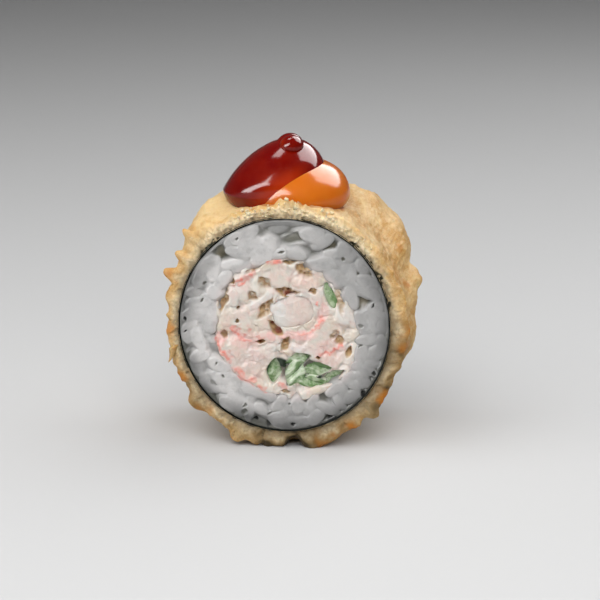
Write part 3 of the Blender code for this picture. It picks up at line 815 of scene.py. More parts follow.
@dataclass
class Dollop:
    """The two sauces on top: a low orange mound, and a red drop with a round tip that leans over it."""

    section: RollSection
    effects: Effects
    rings: int = 150
    segments: int = 200
    foot: float = 19.9 * MM
    orange_centre: Place = (1.6 * MM, -1.2 * MM, 25.1 * MM)
    orange_half_width: float = 10.7 * MM
    orange_half_depth: float = 10.3 * MM
    orange_rise: float = 7.4 * MM
    orange_drop: float = 5.5 * MM
    orange_seed: int = 61
    red_centre: Place = (-3.1 * MM, 0.7 * MM, 25.4 * MM)
    red_half_width: float = 10.6 * MM
    red_depth_share: float = 0.97
    red_rise: float = 10.7 * MM
    red_drop: float = 6.0 * MM
    red_roundness: float = 1.55
    red_tip: float = 37.2 * MM
    red_seed: int = 62
    lean_across: float = 3.3 * MM
    lean_power: float = 0.9
    lean_forward: float = 1.7 * MM
    lean_start: float = 2.5 * MM
    lean_height: float = 6.0 * MM
    knob_radius: float = 2.9 * MM
    ball_centre: Place = (0.7 * MM, -3.7 * MM, 35.3 * MM)
    ball_radius: float = 2.4 * MM
    ball_flatness: float = 0.86
    ball_rings: int = 40
    ball_segments: int = 60
    swell_size: float = 5.0 * MM
    swell_height: float = 0.22 * MM
    thin_reach: float = 2.0 * MM
    thin_power: float = 1.8
    thin_side: Ramp = Ramp(5.0 * MM, 0.5 * MM, 0.8)
    # Painted glow: the thin colour on the left side of the ball at the tip.
    ball_glow_side: Ramp = Ramp(-0.8 * MM, -2.4 * MM, 0.5)
    orange_finish: SauceFinish = SauceFinish(
        "orange_sauce", (0.58, 0.137, 0.007), (0.64, 0.195, 0.018), (1.2, 0.4, 0.1), 0.35, 0.17
    )
    red_finish: SauceFinish = SauceFinish(
        "red_sauce", (0.140, 0.0008, 0.0002), (0.40, 0.028, 0.002), (0.8, 0.04, 0.02), 0.12, 0.12
    )

    def grid(self, top: float) -> tuple[Array, Array]:
        """The turn round a sauce and the height over the axis, on rings from its foot to its top."""
        rise, turn = np.meshgrid(np.linspace(0, 1, self.rings), turns(self.segments), indexing="ij")
        return turn, self.foot + (top - self.foot) * np.sin(rise * math.pi / 2)

    def orange_spread(self, height: Array) -> Array:
        """The share of the orange mound's full width at a height: a quarter ellipse up and one down."""
        off = height - self.orange_centre[2]
        share = np.where(off > 0, off / self.orange_rise, off / self.orange_drop)
        return np.sqrt(np.clip(1 - share**2, 0, 1))

    def orange_points(self) -> Array:
        """The orange mound: ellipses round its centre, with a slow swell all over."""
        turn, height = self.grid(self.orange_centre[2] + self.orange_rise)
        spread = self.orange_spread(height)
        x = self.orange_centre[0] + self.orange_half_width * spread * np.cos(turn)
        y = self.orange_centre[1] + self.orange_half_depth * spread * np.sin(turn)
        points = np.stack([x, y, height + self.section.axis_height], axis=-1)
        return self.swell(points, spread, self.orange_seed)

    def orange_off(self, points: Array) -> Array:
        """About how far points stand off the orange mound: the reach of its ellipsoid less 1, in depth."""
        over = points[..., 2] - self.section.axis_height - self.orange_centre[2]
        tall = np.where(over > 0, self.orange_rise, self.orange_drop)
        x = (points[..., 0] - self.orange_centre[0]) / self.orange_half_width
        y = (points[..., 1] - self.orange_centre[1]) / self.orange_half_depth
        return (np.sqrt(x**2 + y**2 + (over / tall) ** 2) - 1) * self.orange_rise

    def red_points(self) -> Array:
        """The red drop: rounds whose width at a height is the body's, blended with the knob's at the tip."""
        turn, height = self.grid(self.red_tip)
        off = height - self.red_centre[2]
        share = np.clip(np.where(off > 0, off / self.red_rise, -off / self.red_drop), 0, 1)
        body = self.red_half_width * np.sqrt(1 - share ** np.where(off > 0, self.red_roundness, 2.0))
        knob_off = height - (self.red_tip - self.knob_radius)
        knob = np.sqrt(np.clip(self.knob_radius**2 - knob_off**2, 0, None))
        spread = np.maximum(body, knob)
        across = self.lean_across * np.clip(off / self.red_rise, 0, 1) ** self.lean_power
        forward = self.lean_forward * smoothstep(off + self.lean_start, 0, self.lean_height)
        x = self.red_centre[0] + across + spread * np.cos(turn)
        y = self.red_centre[1] - forward + self.red_depth_share * spread * np.sin(turn)
        points = np.stack([x, y, height + self.section.axis_height], axis=-1)
        return self.swell(points, spread / self.red_half_width, self.red_seed)

    def tip_points(self) -> Array:
        """The ball of sauce that rests on the front of the red drop's tip, a little flattened."""
        ball = ball_points(self.ball_rings, self.ball_segments) * np.array([1.0, 1.0, self.ball_flatness])
        across, along, up = self.ball_centre
        return ball * self.ball_radius + np.array([across, along, up + self.section.axis_height])

    def swell(self, points: Array, spread: Array, seed: int) -> Array:
        """Moves a sauce's points in and out from its middle by slow noise, less where it is narrow."""
        away = points - points.mean(axis=1, keepdims=True)
        away[..., 2] = 0.0
        reach = np.linalg.norm(away, axis=-1, keepdims=True) + TINY
        lift = self.swell_height * turned_noise(points, self.swell_size, seed) * np.clip(2 * spread, 0, 1)
        return points + away / reach * lift[..., None]

    def build(self) -> list[bpy.types.Object]:
        """Builds both sauces.

        Returns:
            The orange piece, the red one and the ball at its tip.
        """
        orange, red, tip = self.orange_points(), self.red_points(), self.tip_points()
        border = smoothstep(self.orange_off(red), self.thin_reach, 0.0) ** self.thin_power
        red_thin = border * self.thin_side.at(red[..., 0])
        # Painted glow on the left side of the ball, in the thin colour.
        tip_glow = self.ball_glow_side.at(tip[..., 0] - self.ball_centre[0])
        orange_shell = capped_shell(orange, thin=np.zeros(orange.shape[:2]))
        orange_piece = orange_shell.piece("orange_sauce_dollop", self.orange_finish.material(self.effects))
        red_material = self.red_finish.material(self.effects)
        red_piece = capped_shell(red, thin=red_thin).piece("red_sauce_dollop", red_material)
        tip_piece = capped_shell(tip, thin=tip_glow).piece("red_sauce_tip", red_material)
        return [
            dress(orange_piece, "orange_sauce", "orange_sauce"),
            dress(red_piece, "red_sauce", "red_sauce"),
            dress(tip_piece, "red_sauce"),
        ]


def dress(piece: bpy.types.Object, slot: str, *nodes: str) -> bpy.types.Object:
    """Fixes a piece to the food, and hides the imported solids that it stands for."""
    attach(piece, "root")
    if nodes:
        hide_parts(*nodes)
    return piece


Spots = tuple[Spot, ...]


def blend(spots: Spots, angle: Array, along: Array, radius: Array, depth: float, unit: float = 1.0) -> Array:
    """The sum of some spots, whose amounts are in a unit."""
    return sum(spot.strength(angle, along, radius, depth, unit) for spot in spots)


@dataclass
class CrustTones:
    """Where the crust is cut crumb, toasted, creamy, painted with shade low down, soaked with sauce and
    flecked.
    """

    section: RollSection
    dollop: Dollop
    wander: Noise = Noise(1.4, 23)
    clouds: Noise = Noise(3.0, 21)
    shreds: Noise = Noise(0.6, 19)
    soaking: Noise = Noise(1.2, 20, 0.5 * MM)
    top: Ramp = Ramp(0.6, 0.9)
    outer_wander: float = 0.2
    outer_top: float = 0.35
    outer: Ramp = Ramp(0.25, 0.85)
    toast_wander: Span = (0.75, 0.45)
    toast_inner: float = 0.3
    tip_lifts: Ramp = Ramp(1.3 * MM, 2.6 * MM, 0.5)
    tip_clouds: Ramp = Ramp(0.1, 0.7)
    tip_front: Ramp = Ramp(9.0 * MM, 12.0 * MM)
    # Painted shade: more of it towards the bottom of the crust.
    low: Ramp = Ramp(0.55, 1.0, 0.35)
    shred_edge: Ramp = Ramp(-0.2, 0.2)
    fleck_reach: float = 0.32
    fleck_edge: Ramp = Ramp(0.04, -0.1)
    cut_gain: float = 1.3
    cut_outer: float = 0.8
    # Painted shade on the cut crumb close to the nori.
    near_wander: float = 0.15
    near: Ramp = Ramp(0.6, 0.05)
    cream_wander: Span = (0.8, 0.5)
    # How strong the painted shade low down is: a base, with noise, and more towards the outside.
    damp_base: float = 0.64
    damp_noise: float = 0.30
    damp_outer: float = 0.35
    soak_edge: Ramp = Ramp(0.7 * MM, 0.1 * MM, 0.6)
    toasted: Spots = each(
        Spot,
        (182.5, 0.04, 0.48, 1.7), (207.5, 0.04, 0.48, 1.5), (227.0, 0.04, 0.38, 1.9),
        (156.0, 0.04, 0.35, 1.3), (136.0, 0.12, 0.35, 1.8), (287.0, 0.05, 0.45, 1.8),
        (295.0, 0.08, 0.65, 1.5), (303.5, 0.08, 0.7, 1.5), (324.0, 0.06, 0.8, 1.8), (350.5, 0.07, 0.42, 1.6),
        (359.0, 0.08, 0.55, 1.7), (15.5, 0.35, 0.65, 1.1), (24.0, 0.2, 0.4, 2.8), (30.5, 0.5, 0.45, 1.0),
        (66.0, 0.18, 0.22, 2.0),
    )
    creamy: Spots = each(
        Spot,
        (62.0, 0.1, 1.0, 3.0), (47.0, 0.08, 1.0, 3.0), (40.0, 0.9, 0.8, 4.0), (58.0, 0.92, 0.7, 4.0),
        (20.0, 0.75, 0.6, 2.0), (14.0, 0.3, 0.45, 5.0), (120.0, 0.3, 1.0, 6.0), (129.0, 0.45, 0.85, 6.5),
        (141.0, 0.12, 0.55, 3.0), (75.0, 0.03, 0.7, 4.0), (90.0, 0.03, 0.6, 4.0), (322.0, 0.05, 0.5, 3.0),
        (106.0, 0.05, 0.6, 3.5), (250.0, 0.05, 0.35, 2.0), (313.0, 0.04, 0.7, 1.8),
    )
    # Painted shade: spots round the lower half of the crust, where it lies in shade.
    damp: Spots = each(
        Spot,
        (266.0, 0.02, 1.0, 5.5), (284.0, 0.02, 0.85, 3.5), (299.0, 0.02, 0.75, 3.2), (320.0, 0.02, 0.7, 4.5),
        (338.0, 0.02, 0.66, 4.5), (354.0, 0.02, 0.45, 4.0), (220.0, 0.02, 0.55, 4.5),
        (202.0, 0.02, 0.25, 4.0),
    )
    flecks: Spots = each(
        Spot,
        (51.0, 0.04, 0.9, 1.3), (42.0, 0.04, 1.0, 2.0), (29.7, 0.04, 1.0, 1.7), (15.0, 0.04, 0.8, 1.2),
        (128.0, 0.04, 1.0, 1.2), (135.5, 0.04, 1.0, 1.7), (75.0, 0.04, 0.5, 2.5),
    )

    def marks(self, points: Array, share: Array, cut: Array, lift: Array) -> dict[str, Array]:
        """What the finish needs to know at each point.

        Args:
            points: where they are.
            share: the share of the crust's thickness, from the nori out.
            cut: the share that is cut face.
            lift: how far crags lift the crust there.

        Returns:
            By name: how far it is cut crumb, close to the nori where shade is painted, toasted, creamy,
            painted with shade low down, soaked with sauce, and flecked with nori.
        """
        place = points - np.array([0.0, 0.0, self.section.axis_height])
        angle = np.arctan2(place[..., 2], place[..., 0])
        at = (angle, place[..., 1], np.hypot(place[..., 0], place[..., 2]), self.section.depth)
        wander, clouds = self.wander.at(place), self.clouds.at(place)
        top = self.top.at(np.sin(angle))
        outer = self.outer.at(share + self.outer_wander * wander - self.outer_top * top)
        toasted = blend(self.toasted, *at) * (self.toast_wander[0] + self.toast_wander[1] * wander)
        toasted = toasted * (self.toast_inner + (1 - self.toast_inner) * outer)
        front = self.tip_front.at(np.abs(place[..., 1]))
        tips = self.tip_lifts.at(lift) * self.tip_clouds.at(clouds) * front
        cream = blend(self.creamy, *at) * (self.cream_wander[0] + self.cream_wander[1] * wander)
        # Painted shade low down, from the angle and from the shaded spots.
        low = self.low.at(-np.sin(angle))
        uneven = self.damp_base + self.damp_noise * (clouds + wander) + self.damp_outer * outer
        shreds = self.shred_edge.at(self.shreds.at(place))
        reach = share - self.fleck_reach * blend(self.flecks, *at)
        return {
            "cut": np.clip(self.cut_gain * cut, 0, 1) * (1 - self.cut_outer * outer),
            "near": cut * self.near.at(share + self.near_wander * wander),
            "toast": np.clip(toasted + tips, 0, 1),
            "cream": np.clip(cream, 0, 1),
            "damp": np.clip(np.maximum(blend(self.damp, *at), low) * uneven, 0, 1),
            "soak": self.soak(points),
            "fleck": np.clip(shreds * self.fleck_edge.at(reach) * cut, 0, 1),
        }

    def soak(self, points: Array) -> Array:
        """How far sauce has soaked in: from about 0.7 mm off the sauces up to where they touch."""
        return self.soak_edge.at(self.dollop.orange_off(points) + self.soaking.at(points))


@dataclass
class Crust:
    """The crust of fried batter round the nori, with its crumbs and its one hair of batter."""

    section: RollSection
    dollop: Dollop
    effects: Effects
    steps_round: int = 960
    steps_along: int = 58
    steps_across: int = 18
    steps_bend: int = 14
    edge_rounding: float = 1.5 * MM
    tuck: float = 0.12 * MM
    overlap: float = 0.6 * MM
    overlap_steps: Place = (0.3, 0.65, 1.0)
    dive: float = 0.3 * MM
    fixed_share: float = 0.2
    drawn_share: float = 0.6
    crag: Noise = Noise(3.4, 11, 1.0, False)
    crag_height: float = 0.45 * MM
    crag_sharpness: float = 2.4
    crag_inner: float = 0.15
    crag_rim: Ramp = Ramp(4.5 * MM, 1.0 * MM)
    swell: Noise = Noise(6.0, 13, 0.35 * MM, False)
    fine: Noise = Noise(1.7, 12, 0.18 * MM, False)
    grit: Noises = (Noise(0.85, 14, 0.13 * MM), Noise(0.425, 15, 0.065 * MM))
    heap_front: Ramp = Ramp(-9.5 * MM, -12.0 * MM)
    heap_top: Ramp = Ramp(0.82, 0.93, 0.6 * MM)
    heap_base: float = 0.25
    heap_clumps: Noises = (Noise(2.1, 24, 1.6), Noise(0.7, 25, 1.5))
    heap_sink: Ramp = Ramp(0.88, 0.98, 0.7 * MM)
    sink_start: float = 0.1
    sink_top: Ramp = Ramp(0.45, 0.9)
    crumb: Noises = (Noise(0.75, 16), Noise(0.375, 17, 0.6))
    crumb_relief: float = 0.17 * MM
    crumb_base: float = 0.9
    crumb_gain: Span = (0.6, 1.6)
    pores: Noise = Noise(1.1, 18)
    pore_edge: Ramp = Ramp(0.35, 0.8, 0.35 * MM)
    lumps: Noise = Noise(2.4, 22)
    lump_depth: float = 0.45 * MM
    lump_base: float = 0.6
    crags: Spots = each(
        Spot,
        (136.5, 0.04, 2.4, 0.85), (146.0, 0.05, 1.4, 0.9), (155.8, 0.05, 2.7, 1.25), (165.0, 0.05, 0.6, 1.8),
        (181.5, 0.05, 0.5, 1.3), (194.0, 0.05, -0.7, 1.6), (207.0, 0.05, 0.4, 1.2), (222.5, 0.05, 1.9, 2.0),
        (247.3, 0.05, 2.0, 1.7), (255.5, 0.05, 0.9, 1.6), (261.5, 0.04, 1.2, 0.8), (274.0, 0.05, -2.1, 1.5),
        (281.5, 0.05, 1.3, 1.5), (287.5, 0.05, 1.2, 1.6), (293.0, 0.05, 0.5, 1.1), (304.5, 0.05, 0.5, 1.1),
        (314.0, 0.04, 1.5, 1.2), (334.0, 0.05, -0.6, 2.2), (350.0, 0.45, 2.0, 4.5), (8.0, 0.5, 1.9, 3.2),
        (15.0, 0.6, 2.5, 2.0), (29.5, 0.75, 2.9, 4.6), (45.0, 0.85, 2.7, 4.6), (59.0, 0.85, 2.0, 3.8),
        (122.0, 0.65, 2.8, 4.6), (132.0, 0.3, 3.0, 4.5), (146.0, 0.2, 0.8, 3.0), (270.0, 0.55, 1.2, 7.0),
    )

    def relief(self, angle: Array, along: Array, radius: Array) -> Array:
        """How far crags lift the outside.

        Low ridges stand near the cuts, where a broad noise is near zero. Four more sizes of noise roughen
        it all over, and single crags stand where the photograph has them.

        Args:
            angle: the angle round the axis.
            along: the place along the roll, from its middle.
            radius: the distance from the axis.

        Returns:
            The lift at each place.
        """
        points = around(radius, angle, along)
        rim = self.crag_rim.at(self.section.depth / 2 - np.abs(along))
        ridge = np.clip(1 - self.crag_sharpness * np.abs(self.crag.at(points)), 0, 1)
        lift = self.crag_height * (self.crag_inner + (1 - self.crag_inner) * rim) * ridge
        lift += self.swell.at(points) + blend(self.crags, angle, along, radius, self.section.depth, MM)
        drawn = points * np.array([1.0, self.drawn_share, 1.0])
        return lift + self.fine.at(drawn) + together(self.grit, drawn) + self.heap(points, angle, along)

    def heap(self, points: Array, angle: Array, along: Array) -> Array:
        """How far loose crumb is heaped along the top of the front edge, in clumps of two sizes."""
        top = np.sin(angle)
        clumps = np.clip(self.heap_base + together(self.heap_clumps, points), 0, None)
        return self.heap_front.at(along) * (self.heap_top.at(top) * clumps - self.heap_sink.at(top))

    def loose(self, share: Array) -> Array:
        """How far the relief counts at a share of the crust's thickness: not at the nori, fully outside."""
        return np.clip((share - self.fixed_share) / (1 - self.fixed_share), 0, 1)

    def sink(self, place: Array, angle: Array) -> Array:
        """How deep crumb, pores and lumps sink the cut face; the crumb is deepest at the top."""
        gain = self.crumb_gain[0] + self.crumb_gain[1] * self.sink_top.at(np.sin(angle))
        crumb = self.crumb_relief * (self.crumb_base + together(self.crumb, place)) * gain
        lumps = self.lump_depth * (self.lump_base + self.lumps.at(place))
        return crumb + self.pore_edge.at(self.pores.at(place)) + lumps

    def outline(self) -> tuple[Array, Array, Array]:
        """The section of one half: out over the cut face, round its edge, along the outside and back inside.

        Returns:
            The share of the thickness, the distance from the cut, and the share that is cut face, which
            falls from 1 to 0 round the edge.
        """
        rounding = self.edge_rounding
        flat = 1 - rounding / self.section.crust_thickness
        half = self.section.depth / 2
        across = np.linspace(0, flat, self.steps_across, endpoint=False)
        bend = np.linspace(0, math.pi / 2, self.steps_bend, endpoint=False)
        beyond = half + self.overlap * np.array(self.overlap_steps)
        outside = np.concatenate([np.linspace(rounding, half, self.steps_along), beyond])
        share = np.concatenate([across, flat + (1 - flat) * np.sin(bend), np.ones(len(outside)), [0.0]])
        inset = np.concatenate([0 * across, rounding * (1 - np.cos(bend)), outside, beyond[-1:]])
        cut = np.concatenate([np.ones(len(across)), np.cos(bend), np.zeros(len(outside)), [0.0]])
        return share, inset, cut

    def half(self, side: Side, tones: CrustTones) -> Shell:
        """One half of the crust: the outline carried round the axis, with crags outside and crumb on the cut.

        It reaches a little past the roll's middle, where it sinks into the other half.

        Args:
            side: which half.
            tones: what gives its points their marks.

        Returns:
            The half as a closed shell.
        """
        share, inset, cut = self.outline()
        angle, share = np.meshgrid(turns(self.steps_round), share, indexing="ij")
        inset, cut = np.broadcast_to(inset, angle.shape), np.broadcast_to(cut, angle.shape)
        middle = self.section.depth / 2
        along = side.value * (middle - inset)
        inner = self.section.nori_at(angle) - self.tuck
        radius = inner + (self.section.crust_at(angle) - inner) * share
        lift = self.relief(angle, along, radius) * self.loose(share)
        sink = self.sink(around(radius, angle, along), angle) * cut * np.clip(share / self.sink_start, 0, 1)
        dive = self.dive * smoothstep(inset, middle, middle + self.overlap)
        points = self.section.points(radius + lift - dive, angle, along - side.value * sink)
        points[..., 2] = np.maximum(points[..., 2], 0.0)
        return ring_shell(points, **tones.marks(points, share, cut, lift))

    def build(self) -> list[bpy.types.Object]:
        """Builds the crust and its crumbs.

        Returns:
            The crust's two halves, the crumbs and the hair of batter.
        """
        material = CrustFinish().material(self.effects)
        tones = CrustTones(self.section, self.dollop)
        pieces = []
        for side in Side:
            piece = self.half(side, tones).piece(f"batter_crust_{side.name.lower()}", material)
            pieces.append(dress(piece, "fried_crust", "crust"))
        crumbs = Crumbs(self, tones).shell().piece("crust_crumbs", material)
        wisp = Wisp(self.section).shell().piece("batter_wisp", material)
        return [*pieces, dress(crumbs, "fried_crust"), dress(wisp, "fried_crust")]


@dataclass
class Crumbs:
    """Crumbs on both cut faces, and larger ones along the front top edge."""

    crust: Crust
    tones: CrustTones
    seed: int = 71
    count: int = 300
    top_count: int = 50
    top_angle: float = math.radians(89)
    top_angles: Span = (-0.45, 0.45)
    top_shares: Span = (0.70, 1.05)
    shares: Span = (0.15, 0.9)
    top_size: float = 0.16
    top_size_range: float = 0.30
    sizes: Span = (0.08, 0.18)
    depth: float = 0.38 * MM
    edge_share: float = 0.93
    edge_insets: Span = (1.0, 2.6)
    raised_share: float = 0.9
    raised: Span = (0.0, 0.35)
    roughness: float = 0.45
    squash: Span = (0.6, 1.4)
    tone_share: float = 0.5
    tone_cut: float = 0.8
    cream: Ramp = Ramp(0.040, 0.046, 0.8)
    rings: int = 4
    segments: int = 6

    def places(self, draw: np.random.Generator) -> tuple[Array, Array]:
        """Draws where the crumbs lie, and how large they are.

        Args:
            draw: the source of the random numbers.

        Returns:
            The crumbs' centres and their radii.
        """
        crust, section = self.crust, self.crust.section
        total = self.count + self.top_count
        top = np.arange(total) >= self.count
        angle = draw.uniform(0, TAU, total)
        angle = np.where(top, self.top_angle + draw.uniform(*self.top_angles, total), angle)
        share = np.where(top, draw.uniform(*self.top_shares, total), draw.uniform(*self.shares, total))
        side = np.where(top | (draw.uniform(0, 1, total) < 0.5), Side.FRONT.value, Side.BACK.value)
        large = self.top_size + self.top_size_range * draw.uniform(0, 1, total) ** 2
        size = MM * np.where(top, large, draw.uniform(*self.sizes, total))
        flat = 1 - crust.edge_rounding / section.crust_thickness
        bend = np.clip((share - flat) / (1 - flat), 0, 1)
        inset = crust.edge_rounding * (1 - np.sqrt(1 - bend**2)) + self.depth
        over = top & (share > self.edge_share)
        inset = np.where(over, draw.uniform(*self.edge_insets, total) * MM, inset)
        along = side * (section.depth / 2 - inset)
        inner = section.nori_at(angle)
        radius = inner + (section.crust_at(angle) - inner) * np.minimum(share, 1)
        radius = radius + crust.relief(angle, along, radius) * crust.loose(share)
        raised = top & (share > self.raised_share)
        radius = radius + np.where(raised, draw.uniform(*self.raised, total) * MM, 0.0)
        centre = section.points(radius, angle, along)
        centre[:, 2] = np.maximum(centre[:, 2], size)
        return centre, size

    def shell(self) -> Shell:
        """All crumbs as one shell: small rough balls, turned and squashed."""
        draw = np.random.default_rng(self.seed)
        centre, size = self.places(draw)
        total = len(centre)
        ball = ball_points(self.rings, self.segments)
        rough = 1 + self.roughness * draw.uniform(-1, 1, (total, *ball.shape[:2]))
        squash = draw.uniform(*self.squash, (total, 1, 1, 3))
        shapes = ball[None] * rough[..., None] * squash * size[:, None, None, None]
        shapes = np.einsum("nij,nrcj->nrci", random_turns(draw, total), shapes)
        joined = join_shells([capped_shell(shape + at) for shape, at in zip(shapes, centre)])
        none = np.zeros(len(joined.points))
        marks = self.tones.marks(joined.points, none + self.tone_share, none + self.tone_cut, none)
        cream = self.cream.at(joined.points[:, 2])
        marks.update(fleck=none, near=none, cream=np.maximum(marks["cream"], cream))
        return replace(joined, marks=marks)


@dataclass
class Wisp:
    """The hair of batter that sticks out low on the left of the front edge: a thin horn on a bent path."""

    section: RollSection
    path: tuple[Place, Place, Place] = ((-22.6, -12.7, -4.3), (-22.7, -12.9, -6.6), (-23.7, -13.2, -8.0))
    steps: int = 16
    segments: int = 10
    root_radius: float = 1.10
    tip_radius: float = 0.15
    flatness: float = 0.5
    cream: float = 0.2
    # Painted shade laid on the hair of batter, low on the left.
    damp: float = 0.3

    def shell(self) -> Shell:
        """Rings that shrink along a curve whose ends are the path's, and which its middle place pulls."""
        share = np.linspace(0, 1, self.steps)[:, None]
        start, bend, tip = np.array(self.path) * MM
        path = start * (1 - share) ** 2 + 2 * bend * (share * (1 - share)) + tip * share**2
        turn = turns(self.segments)
        ring = np.stack([np.cos(turn), np.sin(turn), self.flatness * np.cos(turn)], axis=-1)
        size = MM * (self.root_radius + (self.tip_radius - self.root_radius) * share)
        size[-1] = 0.0
        points = path[:, None] + size[..., None] * ring[None]
        points[0] = path[0]
        points[..., 2] += self.section.axis_height
        none = np.zeros(points.shape[:2])
        marks = {mark: none for mark in ("cut", "near", "toast", "soak", "fleck")}
        return capped_shell(points, **marks, cream=none + self.cream, damp=none + self.damp)


def ball_points(rings: int, columns: int) -> Array:
    """A ball of radius 1 as rings of points, its first and last rings being its poles."""
    polar, turn = np.meshgrid(np.linspace(0, math.pi, rings), turns(columns), indexing="ij")
    return np.stack([np.sin(polar) * np.cos(turn), np.sin(polar) * np.sin(turn), np.cos(polar)], axis=-1)


def random_turns(draw: np.random.Generator, count: int) -> Array:
    """Random turns in space, one three by three matrix each, from quaternions of unit length."""
    w, x, y, z = draw.normal(size=(count, 4)).T
    length = np.sqrt(w**2 + x**2 + y**2 + z**2)
    w, x, y, z = w / length, x / length, y / length, z / length
    rows = [
        [1 - 2 * (y * y + z * z), 2 * (x * y - w * z), 2 * (x * z + w * y)],
        [2 * (x * y + w * z), 1 - 2 * (x * x + z * z), 2 * (y * z - w * x)],
        [2 * (x * z - w * y), 2 * (y * z + w * x), 1 - 2 * (x * x + y * y)],
    ]
    return np.array(rows).transpose(2, 0, 1)


def join_shells(shells: list[Shell]) -> Shell:
    """Several shells as one, without their marks."""
    offsets = np.cumsum([0] + [len(shell.points) for shell in shells[:-1]])
    return Shell(
        np.concatenate([shell.points for shell in shells]),
        np.concatenate([shell.quads + offset for shell, offset in zip(shells, offsets)]),
        np.concatenate([shell.triangles + offset for shell, offset in zip(shells, offsets)]),
    )


@dataclass
class Nori:
    """The sheet of nori round the rice, a little ragged at both cuts."""

    section: RollSection
    effects: Effects
    steps_round: int = 720
    steps_along: int = 24
    face_recess: float = 0.05 * MM
    raggedness: float = 0.22 * MM
    rag_size: float = 1.3 * MM
    rag_seed: int = 31
    wall_share: float = 0.85
    wall_unevenness: float = 0.35
    wall_size: float = 2.2 * MM
    wall_seed: int = 32
    overlap: float = 0.05 * MM
    noise_radius: float = 20 * MM
    noise_reach: float = 9 * MM

    def build(self) -> list[bpy.types.Object]:
        """Builds the sheet: a thin wall carried round the axis, whose two ends wander by noise.

        Returns:
            Its one piece.
        """
        along = np.linspace(-1, 1, self.steps_along)
        share = np.concatenate([np.ones(self.steps_along), np.zeros(self.steps_along)])
        angle, share = np.meshgrid(turns(self.steps_round), share, indexing="ij")
        reach = np.broadcast_to(np.concatenate([along, along[::-1]]), angle.shape)
        place = around(self.noise_radius, angle, np.sign(reach) * self.noise_reach)
        ragged = self.raggedness * turned_noise(place, self.rag_size, self.rag_seed)
        half = self.section.depth / 2 - self.face_recess - np.abs(ragged)
        uneven = self.wall_share + self.wall_unevenness * turned_noise(place, self.wall_size, self.wall_seed)
        wall = self.section.nori_thickness * uneven
        radius = self.section.nori_at(angle) + self.overlap - wall * (1 - share)
        points = self.section.points(radius, angle, half * reach)
        piece = ring_shell(points).piece("nori_sheet", NoriFinish().material(self.effects))
        return [dress(piece, "nori", "nori")]


@dataclass(frozen=True)
class Lumps:
    """Grains or shreds that lie on a cut face, with one entry for each in every array."""

    x: Array
    z: Array
    turn: Array
    half_length: Array
    half_width: Array
    middle: Array
    crown: Array
    tilt: Array
    bend: Array
    tone: Array
    tint: Array

    def surface(self, x: Array, z: Array, softness: float, squareness: float, flatness: float) -> list[Array]:
        """The lumps' surface over a grid of places on a face.

        A lump's height is its middle, plus its tilt along itself, plus its crown times 1 less its
        superellipse's reach to a power, and outside it falls away fast. The surface is the smooth maximum of
        all: softness times the logarithm of the sum of their exponentials.

        Args:
            x: places across.
            z: places up from the axis.
            softness: how far the creases between lumps are filled.
            squareness: the superellipse's power along a lump.
            flatness: the power of the crown, from 0.5 for a round lump down to 0 for a flat one.

        Returns:
            The height, and the crest, tone and tint there, each blended from the lumps that stand highest.
        """
        columns = {field.name: getattr(self, field.name)[:, None] for field in fields(self)}
        lump = replace(self, **columns)
        off_x, off_z = x.ravel()[None] - lump.x, z.ravel()[None] - lump.z
        u = (off_x * np.cos(lump.turn) + off_z * np.sin(lump.turn)) / lump.half_length
        v = (off_z * np.cos(lump.turn) - off_x * np.sin(lump.turn)) / lump.half_width
        v = v - lump.bend * (u**2 - BEND_LEVEL)
        reach = np.abs(u) ** squareness + v**2
        crest = np.clip(1 - reach, 0, 1) ** flatness
        fall = LUMP_FALL * np.clip(np.sqrt(reach) - 1, 0, LUMP_FALL_END)
        scaled = (lump.middle + lump.tilt * u + lump.crown * crest - fall) / softness
        top = scaled.max(axis=0)
        weight = np.exp(scaled - top)
        total = weight.sum(axis=0)
        blended = [(weight * value).sum(axis=0) / total for value in (crest, lump.tone, lump.tint)]
        return [values.reshape(x.shape) for values in (softness * (top + np.log(total)), *blended)]


def join_lumps(parts: list[Lumps]) -> Lumps:
    """Several sets of lumps as one."""
    names = [field.name for field in fields(Lumps)]
    return Lumps(**{name: np.concatenate([getattr(part, name) for part in parts]) for name in names})


@dataclass(frozen=True)
class LumpKind:
    """The ranges that a face's grains or shreds are drawn from, with lengths in mm."""

    length: float
    width: float
    widths: Span
    middles: float
    crowns: Span
    tilts: float
    bends: float
    tones: Span

    def layer(self, draw: np.random.Generator, depth: float, *settling: object) -> Lumps:
        """One layer of lumps without a tint.

        Args:
            draw: the source of the random numbers.
            depth: how deep their middles lie, in mm.
            settling: settle's seed, count, spacing, inner and outer outline.

        Returns:
            The lumps, settled between the two outlines.
        """
        centre, turn, half = settle(self.length * MM, self.width * MM, *settling)
        count = len(turn)
        return Lumps(
            x=centre[:, 0],
            z=centre[:, 1],
            turn=turn,
            half_length=half,
            half_width=self.width * MM / 2 * draw.uniform(*self.widths, count),
            middle=-depth * MM + draw.uniform(-self.middles, self.middles, count) * MM,
            crown=draw.uniform(*self.crowns, count) * MM,
            tilt=draw.uniform(-self.tilts, self.tilts, count) * MM,
            bend=draw.uniform(-self.bends, self.bends, count),
            tone=draw.uniform(*self.tones, count),
            tint=np.zeros(count),
        )


